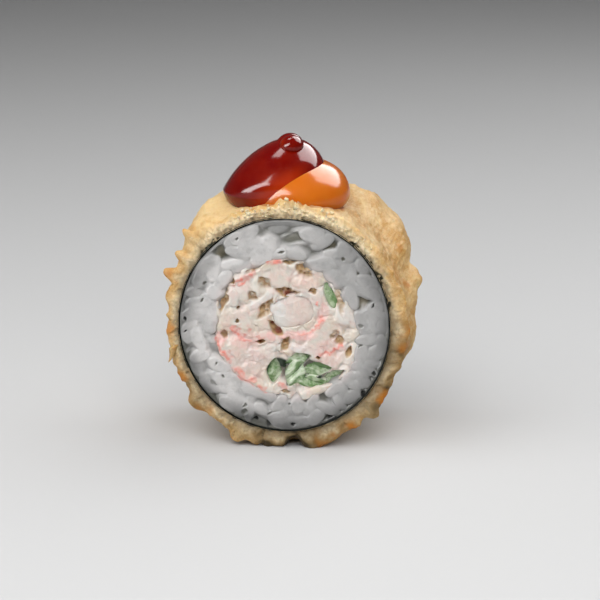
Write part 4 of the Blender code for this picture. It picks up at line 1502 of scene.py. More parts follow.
def settle(
    length: float, width: float, seed: int, count: int, spacing: float, inner: RadiusRule, outer: RadiusRule
) -> tuple[Array, Array, Array]:
    """Lays grains on a cut face and pushes them apart until they fit between two outlines.

    Each grain is three beads in line. Beads of different grains push each other apart, the outlines push
    beads back between them, and the pushes move and turn the grain.

    Args:
        length: the longest grain's length.
        width: their width.
        seed: which random start.
        count: how many grains.
        spacing: the share of the width that beads keep between them.
        inner: the inner outline's radius at an angle.
        outer: the outer outline's radius at an angle.

    Returns:
        The grains' centres, turns and half lengths.
    """
    draw = np.random.default_rng(seed)
    around_axis = TAU * ((np.arange(count) * GOLDEN_SHARE + draw.uniform(0, SETTLE_JITTER, count)) % 1.0)
    low, high = inner(around_axis), outer(around_axis)
    out = np.sqrt(low**2 + (high**2 - low**2) * (np.arange(count) + draw.uniform(0, 1, count)) / count)
    centre = np.stack([out * np.cos(around_axis), out * np.sin(around_axis)], axis=1)
    turn = draw.uniform(0, math.pi, count)
    half = length / 2 * draw.uniform(SHORTEST_SHARE, 1.0, count)
    straight = np.maximum(half - width / 2, 0.0)
    beads = np.array([-1.0, 0.0, 1.0])
    owner = np.repeat(np.arange(count), len(beads))
    others = owner[:, None] != owner[None, :]
    for _ in range(SETTLE_ROUNDS):
        axis = np.stack([np.cos(turn), np.sin(turn)], axis=1)
        at = (centre[:, None] + axis[:, None] * (straight[:, None] * beads)[..., None]).reshape(-1, 2)
        apart = at[:, None] - at[None, :]
        distance = np.linalg.norm(apart, axis=2) + LEAST_DISTANCE
        overlap = np.where(others, np.clip(spacing * width - distance, 0, None), 0.0)
        push = SETTLE_PUSH * (apart / distance[..., None] * overlap[..., None]).sum(axis=1)
        radius = np.linalg.norm(at, axis=1)
        angle = np.arctan2(at[:, 1], at[:, 0])
        inward = np.clip(radius + width / 2 - outer(angle), 0, None)
        outward = np.clip(inner(angle) + width / 2 - radius, 0, None)
        push += at / radius[:, None] * (outward - inward)[:, None]
        push = push.reshape(count, len(beads), 2)
        centre = centre + push.mean(axis=1)
        side = np.stack([-axis[:, 1], axis[:, 0]], axis=1)
        twist = ((push * side[:, None]).sum(axis=2) * beads).sum(axis=1)
        turn = turn + twist / np.maximum(2 * straight, width / 2)
    return centre, turn, half


@dataclass(frozen=True)
class Streak:
    """A coral streak of crab skin on a cut face: a curve through three places, all in mm from the axis."""

    start: Span
    middle: Span
    end: Span
    half_width: float
    strength: float = 1.0
    steps: int = 14
    edge: Span = (1.3, 0.3)

    def mask(self, x: Array, z: Array) -> Array:
        """1 on the streak and 0 off it, by the distance to a curve through its three places."""
        share = np.linspace(0, 1, self.steps)[:, None]
        start, middle, end = (np.array(place) * MM for place in (self.start, self.middle, self.end))
        line = (1 - share) * (1 - 2 * share) * start + 4 * (share * (1 - share)) * middle
        line = line + share * (2 * share - 1) * end
        away = np.min([np.hypot(x - at[0], z - at[1]) for at in line], axis=0)
        outer, inner = (limit * self.half_width * MM for limit in self.edge)
        return self.strength * smoothstep(away, outer, inner)


@dataclass(frozen=True)
class Oval:
    """A superellipse on a cut face: its centre and half sizes in mm, and its lean in degrees."""

    x: float
    z: float
    half_length: float
    half_width: float
    lean: float

    def reach(self, x: Array, z: Array, power: float) -> Array:
        """How far out of the superellipse of a power places lie: 0 at its centre and 1 on its outline."""
        lean = math.radians(self.lean)
        off_x, off_z = x - self.x * MM, z - self.z * MM
        u = np.abs(off_x * math.cos(lean) + off_z * math.sin(lean)) / (self.half_length * MM)
        v = np.abs(off_z * math.cos(lean) - off_x * math.sin(lean)) / (self.half_width * MM)
        return (u**power + v**power) ** (1 / power)


@dataclass(frozen=True)
class Patch(Oval):
    """A chunk or a hollow on a cut face, with how strong it is and how warm its colour."""

    amount: float = 1.0
    warmth: float = 0.0
    edge: Span = (1.25, 0.7)

    def mask(self, x: Array, z: Array, power: float = 2.0) -> Array:
        """The amount inside and 0 outside; a low power makes a star."""
        return self.amount * smoothstep(self.reach(x, z, power), *self.edge)


Patches = tuple[Patch, ...]
Streaks = tuple[Streak, ...]


def strongest(marks: Patches | Streaks | list[Patch], x: Array, z: Array) -> Array:
    """The strongest mask of some patches or streaks at each place."""
    return np.max([mark.mask(x, z) for mark in marks], axis=0)


@dataclass
class Rice:
    """The ring of rice: on each cut face three layers of grains that stick together."""

    section: RollSection
    effects: Effects
    steps_round: int = 940
    steps_across: int = 64
    draw_seed: int = 41
    settle_seed: int = 210
    grains: LumpKind = LumpKind(6.0, 2.6, (0.85, 1.1), 0.30, (0.70, 1.00), 0.40, 0.22, (0.75, 1.0))
    counts: tuple[int, ...] = (64, 56, 60)
    depths: tuple[float, ...] = (0.75, 1.05, 2.3)
    # Painted shade: each deeper layer of grains is toned darker.
    tones: tuple[float, ...] = (1.0, 0.72, 0.30)
    spacings: tuple[float, ...] = (0.76, 0.72, 0.80)
    overhang: float = 0.2 * MM
    underlap: float = 2.0 * MM
    overlap: float = 0.05 * MM
    warp: Warp = Warp((Noise(1.7, 42, 0.28 * MM),), (Noise(1.7, 43, 0.28 * MM),))
    tear: Warp = Warp((Noise(0.7, 46, 0.26 * MM),), (Noise(0.7, 47, 0.26 * MM),))
    softness: float = 0.27 * MM
    squareness: float = 2.5
    flatness: float = 0.45
    top: float = -0.10 * MM
    top_softness: float = 0.16 * MM
    relief: float = 0.72
    grain: Noise = Noise(0.6, 44, 0.035 * MM)
    floor: float = -3.2 * MM
    inner_drop: Ramp = Ramp(0.2 * MM, -1.2 * MM, 4 * MM)
    rim_height: float = -0.35 * MM
    rim_slope: float = 1.3
    rim_width: float = 0.3 * MM
    gap_power: float = 1.5
    gap_growth: float = 1.5
    gap_heights: Ramp = Ramp(-0.45 * MM, -0.75 * MM)
    gap_depth: float = 0.5 * MM
    gap_sink: float = 1.3 * MM
    wide_gap: float = 0.85
    # Painted shade towards the rim: strongest at the bottom, weakest at the top, uneven by noise.
    rim: Ramp = Ramp(-4.2 * MM, -0.2 * MM)
    rim_base: float = 1.12
    rim_below: float = 0.18
    rim_above: Ramp = Ramp(0.5, 0.95, 0.75)
    rim_share: float = 0.62
    rim_noise: Noise = Noise(3.5, 45, 0.38)
    # Painted shade in notches between grains next to the nori, more of it low down.
    notch_reach: Ramp = Ramp(2.0 * MM, 0.5 * MM)
    notch_crest: Ramp = Ramp(0.45, 0.10)
    notch_height: Ramp = Ramp(6 * MM, -6 * MM)
    notch_share: float = 0.9
    notch_chill: float = 0.4
    # Painted shade where the surface lies low.
    low: Ramp = Ramp(-0.8 * MM, -1.6 * MM, 0.6)
    lit: Ramp = Ramp(8 * MM, -10 * MM)
    lit_slope: float = 0.45
    unlit_top: Ramp = Ramp(8 * MM, 15 * MM, 0.20)
    lit_share: float = 0.55
    blush: Ramp = Ramp(1.6 * MM, 0.0)
    blush_share: float = 0.35
    blush_noise: Noise = Noise(2.6, 48, 0.5)
    # Gaps between grains, sunk a little and painted with shade: olive where warmth is positive, near-black
    # where negative.
    gaps: Patches = each(
        Patch,
        (9.1, 16.7, 1.3, 1.1, -30.0, 1.0, 0.4), (2.1, 18.4, 2.0, 0.7, 14.0, 1.0, 0.1),
        (-12.7, 15.2, 1.4, 1.1, 20.0, 1.0, 0.4), (-16.5, 9.0, 0.4, 0.35, 0.0, 0.9, 0.2),
        (-5.5, 20.2, 1.2, 0.6, -50.0, 0.6, 0.1), (-9.4, 17.9, 0.5, 0.3, 40.0, 0.8, 0.1),
        (-7.7, 15.0, 0.9, 0.6, -10.0, 0.8, 1.0), (-0.5, 15.6, 0.6, 0.3, 20.0, 1.0, 0.3),
        (-16.6, 5.5, 0.4, 0.3, 60.0, 0.9, 0.2), (11.6, 14.5, 0.5, 0.3, 70.0, 1.0, 0.2),
        (15.1, 11.1, 1.7, 1.3, 60.0, 1.0, 0.3), (15.7, 5.1, 1.6, 1.0, 75.0, 0.9, 0.8),
        (17.8, 4.8, 0.5, 0.25, 80.0, 1.0, -0.7), (15.1, 0.6, 0.6, 0.45, 0.0, 0.6, 0.1),
        (15.1, -3.6, 0.4, 0.3, 30.0, 0.8, 0.2), (17.9, -5.1, 1.0, 0.28, 88.0, 1.0, -0.6),
        (17.9, -9.3, 0.5, 0.45, 0.0, 1.0, -0.6), (13.3, -13.4, 1.4, 0.8, 22.0, 0.9, 0.0),
        (15.8, -14.0, 0.6, 0.4, 50.0, 1.0, -0.5), (-20.4, 1.4, 0.6, 0.4, 85.0, 1.0, -0.9),
        (-19.9, -1.3, 0.3, 0.28, 0.0, 1.0, -1.0), (-15.0, -0.9, 1.7, 0.9, 30.0, 1.0, 0.5),
        (-14.0, -8.0, 0.4, 0.25, 60.0, 0.8, 0.3), (-12.4, -10.7, 0.4, 0.25, -30.0, 0.9, 0.2),
        (-14.6, -12.0, 0.7, 0.5, -40.0, 0.5, 0.0), (-11.1, -17.6, 0.9, 0.8, -35.0, 1.0, -0.8),
        (-8.2, -16.7, 0.7, 0.22, 20.0, 0.8, 0.1), (-6.0, -19.9, 0.5, 0.3, 0.0, 1.0, -0.9),
        (-3.2, -19.9, 1.4, 0.5, 80.0, 1.0, -0.7), (1.6, -20.5, 0.6, 0.3, 0.0, 1.0, -0.9),
        (-3.0, -18.4, 0.8, 0.22, 10.0, 0.8, 0.1), (6.1, -15.7, 1.9, 0.8, 25.0, 0.9, 0.0),
        (0.8, -16.4, 0.4, 0.3, 0.0, 0.8, 0.2), (-8.3, -18.0, 0.8, 0.6, 60.0, 0.9, -0.3),
        (11.8, -8.8, 1.9, 0.8, 78.0, 0.9, 1.0), (9.6, -19.0, 1.1, 0.8, 25.0, 1.0, -0.3),
    )
    streaks: Streaks = each(
        Streak,
        ((-13.8, -1.6), (-13.2, -4.4), (-11.2, -7.0), 0.5),
        ((-10.4, -8.9), (-8.6, -10.9), (-6.1, -11.8), 0.55),
        ((-4.7, -12.6), (-4.4, -12.9), (-4.1, -13.3), 0.6),
        ((-0.9, -12.5), (-0.3, -12.9), (0.3, -13.3), 0.6),
    )

    def filling(self, angle: Array) -> Array:
        """How near the axis grains may lie: a little over the filling's edge."""
        return self.section.filling_at(angle) - self.overhang

    def layers(self, side: Side) -> Lumps:
        """The grains of one face, layer under layer, sunk where the wide gaps are."""
        draw = np.random.default_rng(self.draw_seed + side.value)
        found = []
        rules = zip(self.counts, self.depths, self.tones, self.spacings)
        for number, (count, depth, tone, spacing) in enumerate(rules):
            seed = self.settle_seed + LAYER_STEP * number + side.value
            outlines = (self.filling, self.section.rice_at)
            lumps = self.grains.layer(draw, depth, seed, count, spacing, *outlines)
            middle = lumps.middle - self.gap_sink * self.opened(lumps.x, lumps.z, 1.0)
            # Painted shade: the deeper layers are toned darker.
            found.append(replace(lumps, middle=middle, tone=tone * lumps.tone))
        return join_lumps(found)

    def opened(self, x: Array, z: Array, grown: float) -> Array:
        """How far places lie in a wide gap between grains, with the gaps' sizes multiplied."""
        wide = [gap for gap in self.gaps if gap.half_length > self.wide_gap]
        sizes = [(gap.half_length * grown, gap.half_width * grown) for gap in wide]
        gaps = [replace(g, half_length=long, half_width=high) for g, (long, high) in zip(wide, sizes)]
        return strongest(gaps, x, z)

    def face(self, side: Side) -> Shell:
        """Half of the ring, from one cut face to the roll's middle: the grains' surface on a polar grid."""
        share = np.linspace(0, 1, self.steps_across)
        angle, share = np.meshgrid(turns(self.steps_round), share, indexing="ij")
        filling, edge = self.section.filling_at(angle), self.section.rice_at(angle)
        inner, outer = filling - self.underlap, edge + self.overlap
        radius = inner + (outer - inner) * share
        place = around(radius, angle, side.value * NOISE_REACH)
        x, z = self.warp.moved(place, place[..., 0], place[..., 2])
        shape = (self.softness, self.squareness, self.flatness)
        height, crest, tone, _ = self.layers(side).surface(x, z, *shape)
        height = np.maximum(height, self.floor - self.inner_drop.at(radius - filling))
        rim_slope = self.rim_slope * np.clip(edge - radius - self.rim_width, 0, None)
        height = np.maximum(height, self.rim_height - rim_slope)
        height = ceiling(self.top + self.relief * (height - self.top), self.top, self.top_softness)
        height += self.grain.at(place)
        torn = self.tear.moved(place, x, z)
        # Painted shade in the gaps, in the notches by the nori and where the surface lies low.
        masks = [gap.mask(*torn, self.gap_power) for gap in self.gaps]
        holes = [mask for mask, gap in zip(masks, self.gaps) if gap.half_length <= self.wide_gap]
        gap = np.max([*holes, self.opened(x, z, self.gap_growth) * self.gap_heights.at(height)], axis=0)
        notches = self.notch_reach.at(edge - radius) * self.notch_crest.at(crest)
        notches = notches * self.notch_height.at(place[..., 2])
        hollow = np.max([self.low.at(height), self.notch_share * notches, gap], axis=0)
        # Painted light: the tone mark is lighter on the upper left, darker towards the lower right and a
        # little darker at the very top.
        lit = self.lit.at(place[..., 0] - self.lit_slope * place[..., 2]) - self.unlit_top.at(place[..., 2])
        # Painted shade towards the rim, most at the bottom and least at the top.
        rim = self.rim_base - self.rim_below * np.sin(angle) - self.rim_above.at(np.sin(angle))
        rim = self.rim.at(radius - outer) * rim * (self.rim_share + self.rim_noise.at(place))
        warm = sum(gap.warmth * mask for gap, mask in zip(self.gaps, masks))
        marks = {
            "crest": crest,
            "tone": tone * (1 - self.lit_share + self.lit_share * lit),
            "hollow": hollow,
            "warm": warm - self.notch_chill * notches,
            "rim": np.clip(rim, 0, 1),
            "coral": strongest(self.streaks, *torn),
            "blush": self.blush.at(radius - filling) * (self.blush_share + self.blush_noise.at(place)),
        }
        back = np.stack([outer[:, 0], inner[:, 0]], axis=1)
        along = side.value * (self.section.depth / 2 + height - self.gap_depth * gap)
        along = np.concatenate([along, np.zeros(back.shape)], axis=1)
        points = self.section.points(np.concatenate([radius, back], axis=1), angle[:, :1], along)
        marks = {mark: np.pad(values, ((0, 0), (0, 2)), mode="edge") for mark, values in marks.items()}
        return ring_shell(points, **marks)

    def build(self) -> list[bpy.types.Object]:
        """Builds the rice.

        Returns:
            One piece for each cut face.
        """
        material = RiceFinish().material(self.effects)
        pieces = []
        for side in Side:
            piece = self.face(side).piece(f"rice_{side.name.lower()}", material)
            pieces.append(dress(piece, "rice", "rice"))
        return pieces


@dataclass(frozen=True)
class StripSection(Oval):
    """The section of a bar that runs through the roll: a superellipse that leans and may taper."""

    squareness: float = 3.0
    taper: float = 0.0

    def outline(self, turn: Array, share: Array) -> tuple[Array, Array, Array]:
        """Points on the section, at a turn round it and a share of the way out.

        Args:
            turn: the angle round.
            share: 0 at the centre and 1 on the outline.

        Returns:
            Places across and above the axis, and the share of the half width across the bar.
        """
        power = 2.0 / self.squareness
        u = np.sign(np.cos(turn)) * np.abs(np.cos(turn)) ** power * share
        v = np.sign(np.sin(turn)) * np.abs(np.sin(turn)) ** power * share * (1 - self.taper * u)
        long, wide = self.half_length * MM * u, self.half_width * MM * v
        lean = math.radians(self.lean)
        x = self.x * MM + long * math.cos(lean) - wide * math.sin(lean)
        z = self.z * MM + long * math.sin(lean) + wide * math.cos(lean)
        return x, z, v


@dataclass(frozen=True)
class CucumberStrip(StripSection):
    """A strip's section, how far its ends stand out, which side has skin, and how green and folded it is."""

    proud: float = 0.0
    skin_side: float = 1.0
    green: float = 0.6
    folds: float = 1.0


STICK = StripSection(1.5, 3.1, 4.6, 3.5, 12.0, 2.6)
CUCUMBER_STRIPS = each(
    CucumberStrip,
        (9.0, 6.6, 3.1, 1.1, -73.0, 2.0, 0.15, 0.5, 1.0, 0.62, 0.0),
        (-2.3, -9.5, 3.2, 1.8, 84.0, 1.3, 0.3, 0.1, 1.0, 0.6, 0.5),
        (2.6, -6.9, 3.2, 1.45, 20.0, 1.25, 0.2, 0.4, -1.0, 0.7, 0.8),
        (1.9, -9.9, 3.3, 2.3, 66.0, 1.35, -0.25, 0.7, -1.0, 0.15, 1.0),
        (6.4, -9.0, 3.5, 1.7, 6.0, 1.35, 0.3, 0.3, 1.0, 0.8, 0.7),
        (4.9, -11.6, 3.0, 1.5, 2.0, 1.35, -0.2, 0.6, -1.0, 0.6, 0.8),
        (9.1, -10.7, 3.9, 1.25, 30.0, 1.3, -0.3, 0.0, -1.0, 0.6, 0.6),
)


@dataclass(frozen=True)
class Bar:
    """A bar through the roll: its section, how far it reaches each way, and how fine and uneven it is.

    Its ends are domes: the distance from the end grows as the rounding times 1 less the root of 1 less
    the share out to a power, so that they are flat in the middle and round at the edge.
    """

    strip: StripSection
    section: RollSection
    half_reach: float
    rounding: float
    columns: int
    face_rings: int
    side_rings: int
    unevenness: float
    raggedness: float
    seed: int
    crowding: float = 0.8
    dome_power: int = 4
    drawn_share: float = 0.15
    wobble_size: float = 1.8
    fine_size: float = 0.8
    fine_share: float = 0.4
    end_share: float = 1.5

    def points(self) -> tuple[Array, Array, Array]:
        """Rings of points: out over one end, along the sides, and in over the other end.

        Returns:
            The points, the share of the way out to the outline, and the share of the half width across.
        """
        out = np.linspace(0, 1, self.face_rings) ** self.crowding
        back = self.rounding * (1 - np.sqrt(np.clip(1 - out**self.dome_power, 0, 1)))
        straight = self.half_reach - self.rounding
        middle = np.linspace(straight, -straight, self.side_rings + 2)[1:-1]
        share = np.concatenate([out, np.ones(self.side_rings), out[::-1]])
        along = np.concatenate([back - self.half_reach, -middle, (self.half_reach - back)[::-1]])
        share, turn = np.meshgrid(share, turns(self.columns), indexing="ij")
        along = np.broadcast_to(along[:, None], share.shape)
        x, z, across = self.strip.outline(turn, share)
        place = np.stack([x, self.drawn_share * along, z], axis=-1)
        fine = Noise(self.fine_size, self.seed + 1, self.fine_share)
        wobble = together((Noise(self.wobble_size, self.seed), fine), place)
        off_x, off_z = x - self.strip.x * MM, z - self.strip.z * MM
        moved = wobble * self.raggedness * share / (np.hypot(off_x, off_z) + TINY)
        ends = smoothstep(np.abs(along), self.half_reach - self.end_share * self.rounding, straight)
        along = along - np.sign(along) * self.unevenness * np.abs(wobble) * ends
        up = z + off_z * moved + self.section.axis_height
        return np.stack([x + off_x * moved, along, up], axis=-1), share, across


@dataclass
class CrabSalad:
    """The shredded crab: chunks over smaller shreds, with coral streaks and hollows, and one whole stick."""

    section: RollSection
    effects: Effects
    steps_round: int = 640
    steps_out: int = 92
    draw_seed: int = 51
    settle_seed: int = 310
    kind: LumpKind = LumpKind(4.8, 2.3, (0.7, 1.25), 0.35, (0.7, 1.0), 0.5, 0.45, (0.0, 0.9))
    counts: tuple[int, ...] = (70, 60)
    depths: tuple[float, ...] = (1.55, 2.3)
    spacing: float = 0.78
    tints: Span = (0.15, 0.3)
    overlap: float = 1.2 * MM
    shred_overlap: float = 0.5 * MM
    warp: Warp = Warp(
        (Noise(1.9, 52, 0.45 * MM), Noise(0.8, 53, 0.22 * MM)),
        (Noise(1.9, 54, 0.45 * MM), Noise(0.8, 55, 0.22 * MM)),
    )
    rag: Warp = Warp((Noise(0.6, 64, 0.30 * MM),), (Noise(0.6, 65, 0.30 * MM),))
    softness: float = 0.58 * MM
    squareness: float = 3.2
    flatness: float = 0.25
    floor: float = -3.3 * MM
    top: float = -0.15 * MM
    top_softness: float = 0.2 * MM
    middle: float = -0.5 * MM
    relief: float = 0.52
    flakes: Noises = (Noise(1.7, 56), Noise(0.8, 57))
    flake_shares: Span = (1.0, 0.6)
    flake_roundness: float = 0.2
    flake_level: float = 0.55
    flake_height: float = 0.38 * MM
    grain: Noise = Noise(0.45, 59, 0.07 * MM)
    hollow_power: float = 1.3
    hollow_base: float = 0.85
    hollow_noise: Noise = Noise(0.6, 68, 0.5)
    hollow_depth: float = 1.5 * MM
    # Painted shade in the hollows: how dark, with noise, warmer in some, and more where the surface lies
    # deep.
    hollow_share: float = 0.45
    hollow_tones: Noise = Noise(1.0, 70, 0.35)
    warm_share: float = 0.45
    deep: Ramp = Ramp(-2.2 * MM, -3.2 * MM, 0.5)
    edge_rise: Ramp = Ramp(-1.8 * MM, -0.3 * MM, 0.55 * MM)
    edge_fall: Ramp = Ramp(0.4 * MM, 1.2 * MM, 1.4 * MM)
    stick_bed: Ramp = Ramp(0.92, 0.82)
    strip_bed: Ramp = Ramp(0.95, 0.75)
    bed_depth: float = 0.4 * MM
    strand_noise: Noises = (Noise(0.9, 66), Noise(0.4, 69, 0.4))
    strands: Ramp = Ramp(0.0, 0.6, 0.75)
    coral_base: float = 0.75
    coral_noise: Noise = Noise(0.5, 67, 0.4)
    coral_height: float = 0.12 * MM
    tint_share: float = 0.35
    chunk_middle: float = -1.15
    chunk_unevenness: float = 0.30
    chunk_crown: float = 0.95
    chunk_tilt: float = 0.35
    chunk_bend: float = 0.25
    chunk_waves: Place = (2.0, 1.7, 3.0)
    bent_shred: Patch = Patch(2.2, -2.0, 3.4, 0.9, 2.0, 0.9, 0.8)
    shred_bend: float = 0.9
    stick_tone: Ramp = Ramp(-1.5 * MM, 2.5 * MM)
    stick_rim: Ramp = Ramp(0.86, 1.0)
    stick_low: Ramp = Ramp(2.0 * MM, -0.5 * MM)
    stick_shade: float = 0.4
    stick_blushes: Span = (0.25, 0.2)
    stick_coral: float = 0.35
    chunks: Patches = each(
        Patch,
        (-4.5, 5.2, 3.1, 0.8, 41.0, 1.0), (-10.4, 5.7, 1.9, 1.2, 80.0, 0.8),
        (-7.8, 6.9, 2.1, 1.4, 70.0, 0.4), (-5.6, 8.2, 2.2, 0.9, 75.0, 0.7),
        (-1.5, 10.2, 3.0, 2.0, -30.0, 0.5, 0.15), (3.9, 9.0, 2.3, 1.1, -10.0, 0.2, 0.4),
        (6.3, 6.2, 2.3, 1.2, -80.0, 0.9, 0.1), (-8.4, 1.4, 2.3, 1.7, 5.0, 0.6),
        (-5.2, 1.6, 1.7, 1.5, -20.0, 0.3), (-11.6, 1.6, 1.6, 1.3, 70.0, 0.3, 0.4),
        (-9.4, -4.6, 2.4, 1.8, 60.0, 0.5, 0.2), (-6.6, -6.0, 2.2, 1.2, -8.0, 0.8),
        (-3.0, -5.4, 1.8, 1.2, 80.0, 1.0), (-4.4, -2.2, 2.3, 1.1, -12.0, 0.4, 1.0),
        (6.8, -2.2, 2.7, 1.5, 35.0, 0.6), (8.2, 0.4, 2.3, 1.0, 22.0, 0.4, 0.1),
        (6.2, -5.6, 1.8, 1.3, 60.0, 0.6, 0.3), (9.5, -7.0, 2.0, 1.3, -10.0, 0.5, 0.3),
        (-6.6, -9.0, 1.8, 1.3, -20.0, 0.7), (2.9, -4.4, 1.4, 1.0, 0.0, 1.0),
        (11.6, 2.4, 1.8, 1.3, 75.0, 1.0),
    )
    streaks: Streaks = each(
        Streak,
        ((-3.4, 13.5), (-2.3, 13.8), (-1.2, 13.6), 0.6), ((-10.2, 9.4), (-8.4, 10.0), (-6.0, 11.2), 0.5),
        ((-9.4, 8.8), (-8.2, 9.2), (-6.6, 10.2), 0.35), ((-13.6, -3.0), (-13.0, -5.0), (-11.0, -7.2), 0.55),
        ((-9.9, -9.1), (-8.2, -10.8), (-6.1, -11.8), 0.6),
        ((-4.7, -12.8), (-4.4, -13.0), (-4.1, -13.1), 0.6),
        ((-0.9, -12.3), (-0.3, -12.7), (0.3, -12.9), 0.65), ((-10.4, -0.2), (-9.7, -1.4), (-8.9, -2.2), 0.5),
        ((-8.8, -2.2), (-8.2, -2.8), (-7.0, -3.2), 0.42, 0.8), ((7.5, 2.3), (7.5, 1.2), (6.6, 0.1), 0.7),
        ((6.6, 0.1), (5.2, -0.9), (2.8, -1.5), 0.34, 0.8), ((7.2, -5.7), (9.0, -4.9), (11.0, -3.8), 0.46),
        ((6.4, 5.5), (6.4, 5.1), (6.5, 4.8), 0.34),
    )
    # Hollows between shreds, sunk and painted with shade.
    hollows: Patches = each(
        Patch,
        (0.4, 7.2, 2.1, 1.3, -5.0, 1.0, 1.0), (5.4, 7.6, 0.9, 0.5, 25.0, 0.8, 0.5),
        (-1.9, -0.4, 2.0, 1.2, -38.0, 1.0, 0.9), (-12.3, 5.8, 3.0, 1.1, 76.0, 1.0, 0.3),
        (-11.0, 9.4, 0.9, 0.8, 45.0, 1.0, 0.8), (-3.9, 8.9, 1.6, 1.1, -40.0, 0.7, 0.0),
        (-6.4, 6.5, 1.2, 1.1, -40.0, 0.8, 0.0), (-3.9, 3.6, 2.4, 1.2, 56.0, 0.9, 0.1),
        (-6.0, 12.0, 2.0, 0.7, 32.0, 0.7, 0.0), (0.9, 13.7, 1.7, 0.7, 6.0, 1.0, 0.2),
        (4.0, 11.9, 2.1, 1.5, -45.0, 0.9, 0.3), (8.3, 13.2, 1.3, 0.4, -62.0, 0.9, 0.3),
        (11.0, 6.0, 3.9, 0.8, -80.0, 0.75, 0.0), (9.8, -1.7, 1.0, 0.9, 30.0, 0.7, 0.1),
        (10.8, -2.9, 1.2, 0.9, 15.0, 0.8, 0.7), (12.8, -5.0, 1.2, 0.8, 80.0, 0.9, 0.5),
        (0.0, -3.8, 1.5, 1.0, 60.0, 0.8, 0.3), (6.7, -6.3, 0.5, 0.4, 0.0, 1.0, 1.0),
        (-5.0, -3.3, 0.8, 0.5, -10.0, 0.9, 0.8), (-9.6, 1.0, 0.4, 0.4, 0.0, 0.9, 0.9),
        (-9.4, 3.4, 0.4, 0.4, 0.0, 0.8, 0.2), (-12.2, -1.7, 0.8, 0.9, 0.0, 0.8, 0.2),
        (0.2, -13.6, 0.9, 0.5, 0.0, 0.8, 0.6),
    )
    nets: Patches = each(
        Patch,
        (-7.6, -1.7, 3.0, 1.9, -12.0, 0.85), (-11.9, -4.6, 1.9, 0.8, -60.0, 0.5),
        (8.8, -4.6, 2.4, 1.0, 25.0, 0.6), (-8.5, 9.6, 2.6, 0.9, 28.0, 0.6), (6.9, 1.0, 1.6, 1.2, 60.0, 0.9),
    )
    blushes: Patches = each(
        Patch,
        (-12.7, -2.2, 1.3, 1.2, 60.0, 0.9), (-3.0, -2.0, 1.2, 1.1, 0.0, 0.8),
        (-8.0, -3.0, 3.2, 2.2, -10.0, 0.55), (2.4, -1.8, 3.9, 1.1, 4.0, 0.8),
        (-7.5, -8.0, 5.0, 3.8, -20.0, 0.25), (9.0, -5.0, 3.6, 3.0, 30.0, 0.4),
        (3.5, 9.8, 3.0, 1.2, -10.0, 0.35), (7.6, 2.8, 2.4, 1.2, 80.0, 0.6),
    )
    # Near-black painted shade in the gaps between the cucumber strips.
    blacks: Patches = each(
        Patch,
        (3.4, -9.3, 5.6, 2.6, -8.0, 0.8), (8.6, -10.6, 3.0, 0.8, 22.0, 0.7), (-0.7, -7.7, 1.3, 0.9, -50.0),
        (7.0, -10.7, 1.0, 0.7, 40.0), (0.8, -11.6, 0.8, 0.5, 70.0, 0.8), (4.4, -7.9, 1.3, 0.3, -5.0, 0.8),
        (4.4, -10.4, 1.3, 0.35, -40.0, 0.9),
    )

    def chosen_chunks(self) -> Lumps:
        """The chunks as lumps of one height, and the bent shred that lies under the whole stick."""
        chunks = [*self.chunks, self.bent_shred]
        rows = [(c.x, c.z, c.lean, c.half_length, c.half_width, c.amount, c.warmth) for c in chunks]
        x, z, lean, length, width, tone, tint = np.array(rows).T
        rise, tip, curve = np.sin(np.outer(self.chunk_waves, np.arange(len(chunks))))
        bend = self.chunk_bend * curve
        bend[-1] = self.shred_bend
        return Lumps(
            x=x * MM,
            z=z * MM,
            turn=np.radians(lean),
            half_length=length * MM,
            half_width=width * MM,
            middle=(self.chunk_middle + self.chunk_unevenness * rise) * MM,
            crown=np.full(len(chunks), self.chunk_crown * MM),
            tilt=self.chunk_tilt * tip * MM,
            bend=bend,
            tone=tone,
            tint=tint,
        )

    def shred_edge(self, angle: Array) -> Array:
        """How far out shreds may lie: a little over the filling's edge."""
        return self.section.filling_at(angle) + self.shred_overlap

    def shreds(self, side: Side) -> Lumps:
        """The chunks with the smaller shreds of one face under them, layer under layer."""
        draw = np.random.default_rng(self.draw_seed + side.value)
        found = [self.chosen_chunks()]
        for number, (count, depth) in enumerate(zip(self.counts, self.depths)):
            seed = self.settle_seed + LAYER_STEP * number + side.value
            lumps = self.kind.layer(draw, depth, seed, count, self.spacing, np.zeros_like, self.shred_edge)
            found.append(replace(lumps, tint=np.clip(draw.normal(*self.tints, count), 0, 1)))
        return join_lumps(found)

    def bed(self, x: Array, z: Array) -> Array:
        """1 where the stick and the cucumber strips lie, which the shreds stay clear of, and 0 elsewhere."""
        strips = [self.strip_bed.at(strip.reach(x, z, strip.squareness)) for strip in CUCUMBER_STRIPS]
        return np.max([self.stick_bed.at(STICK.reach(x, z, STICK.squareness)), *strips], axis=0)

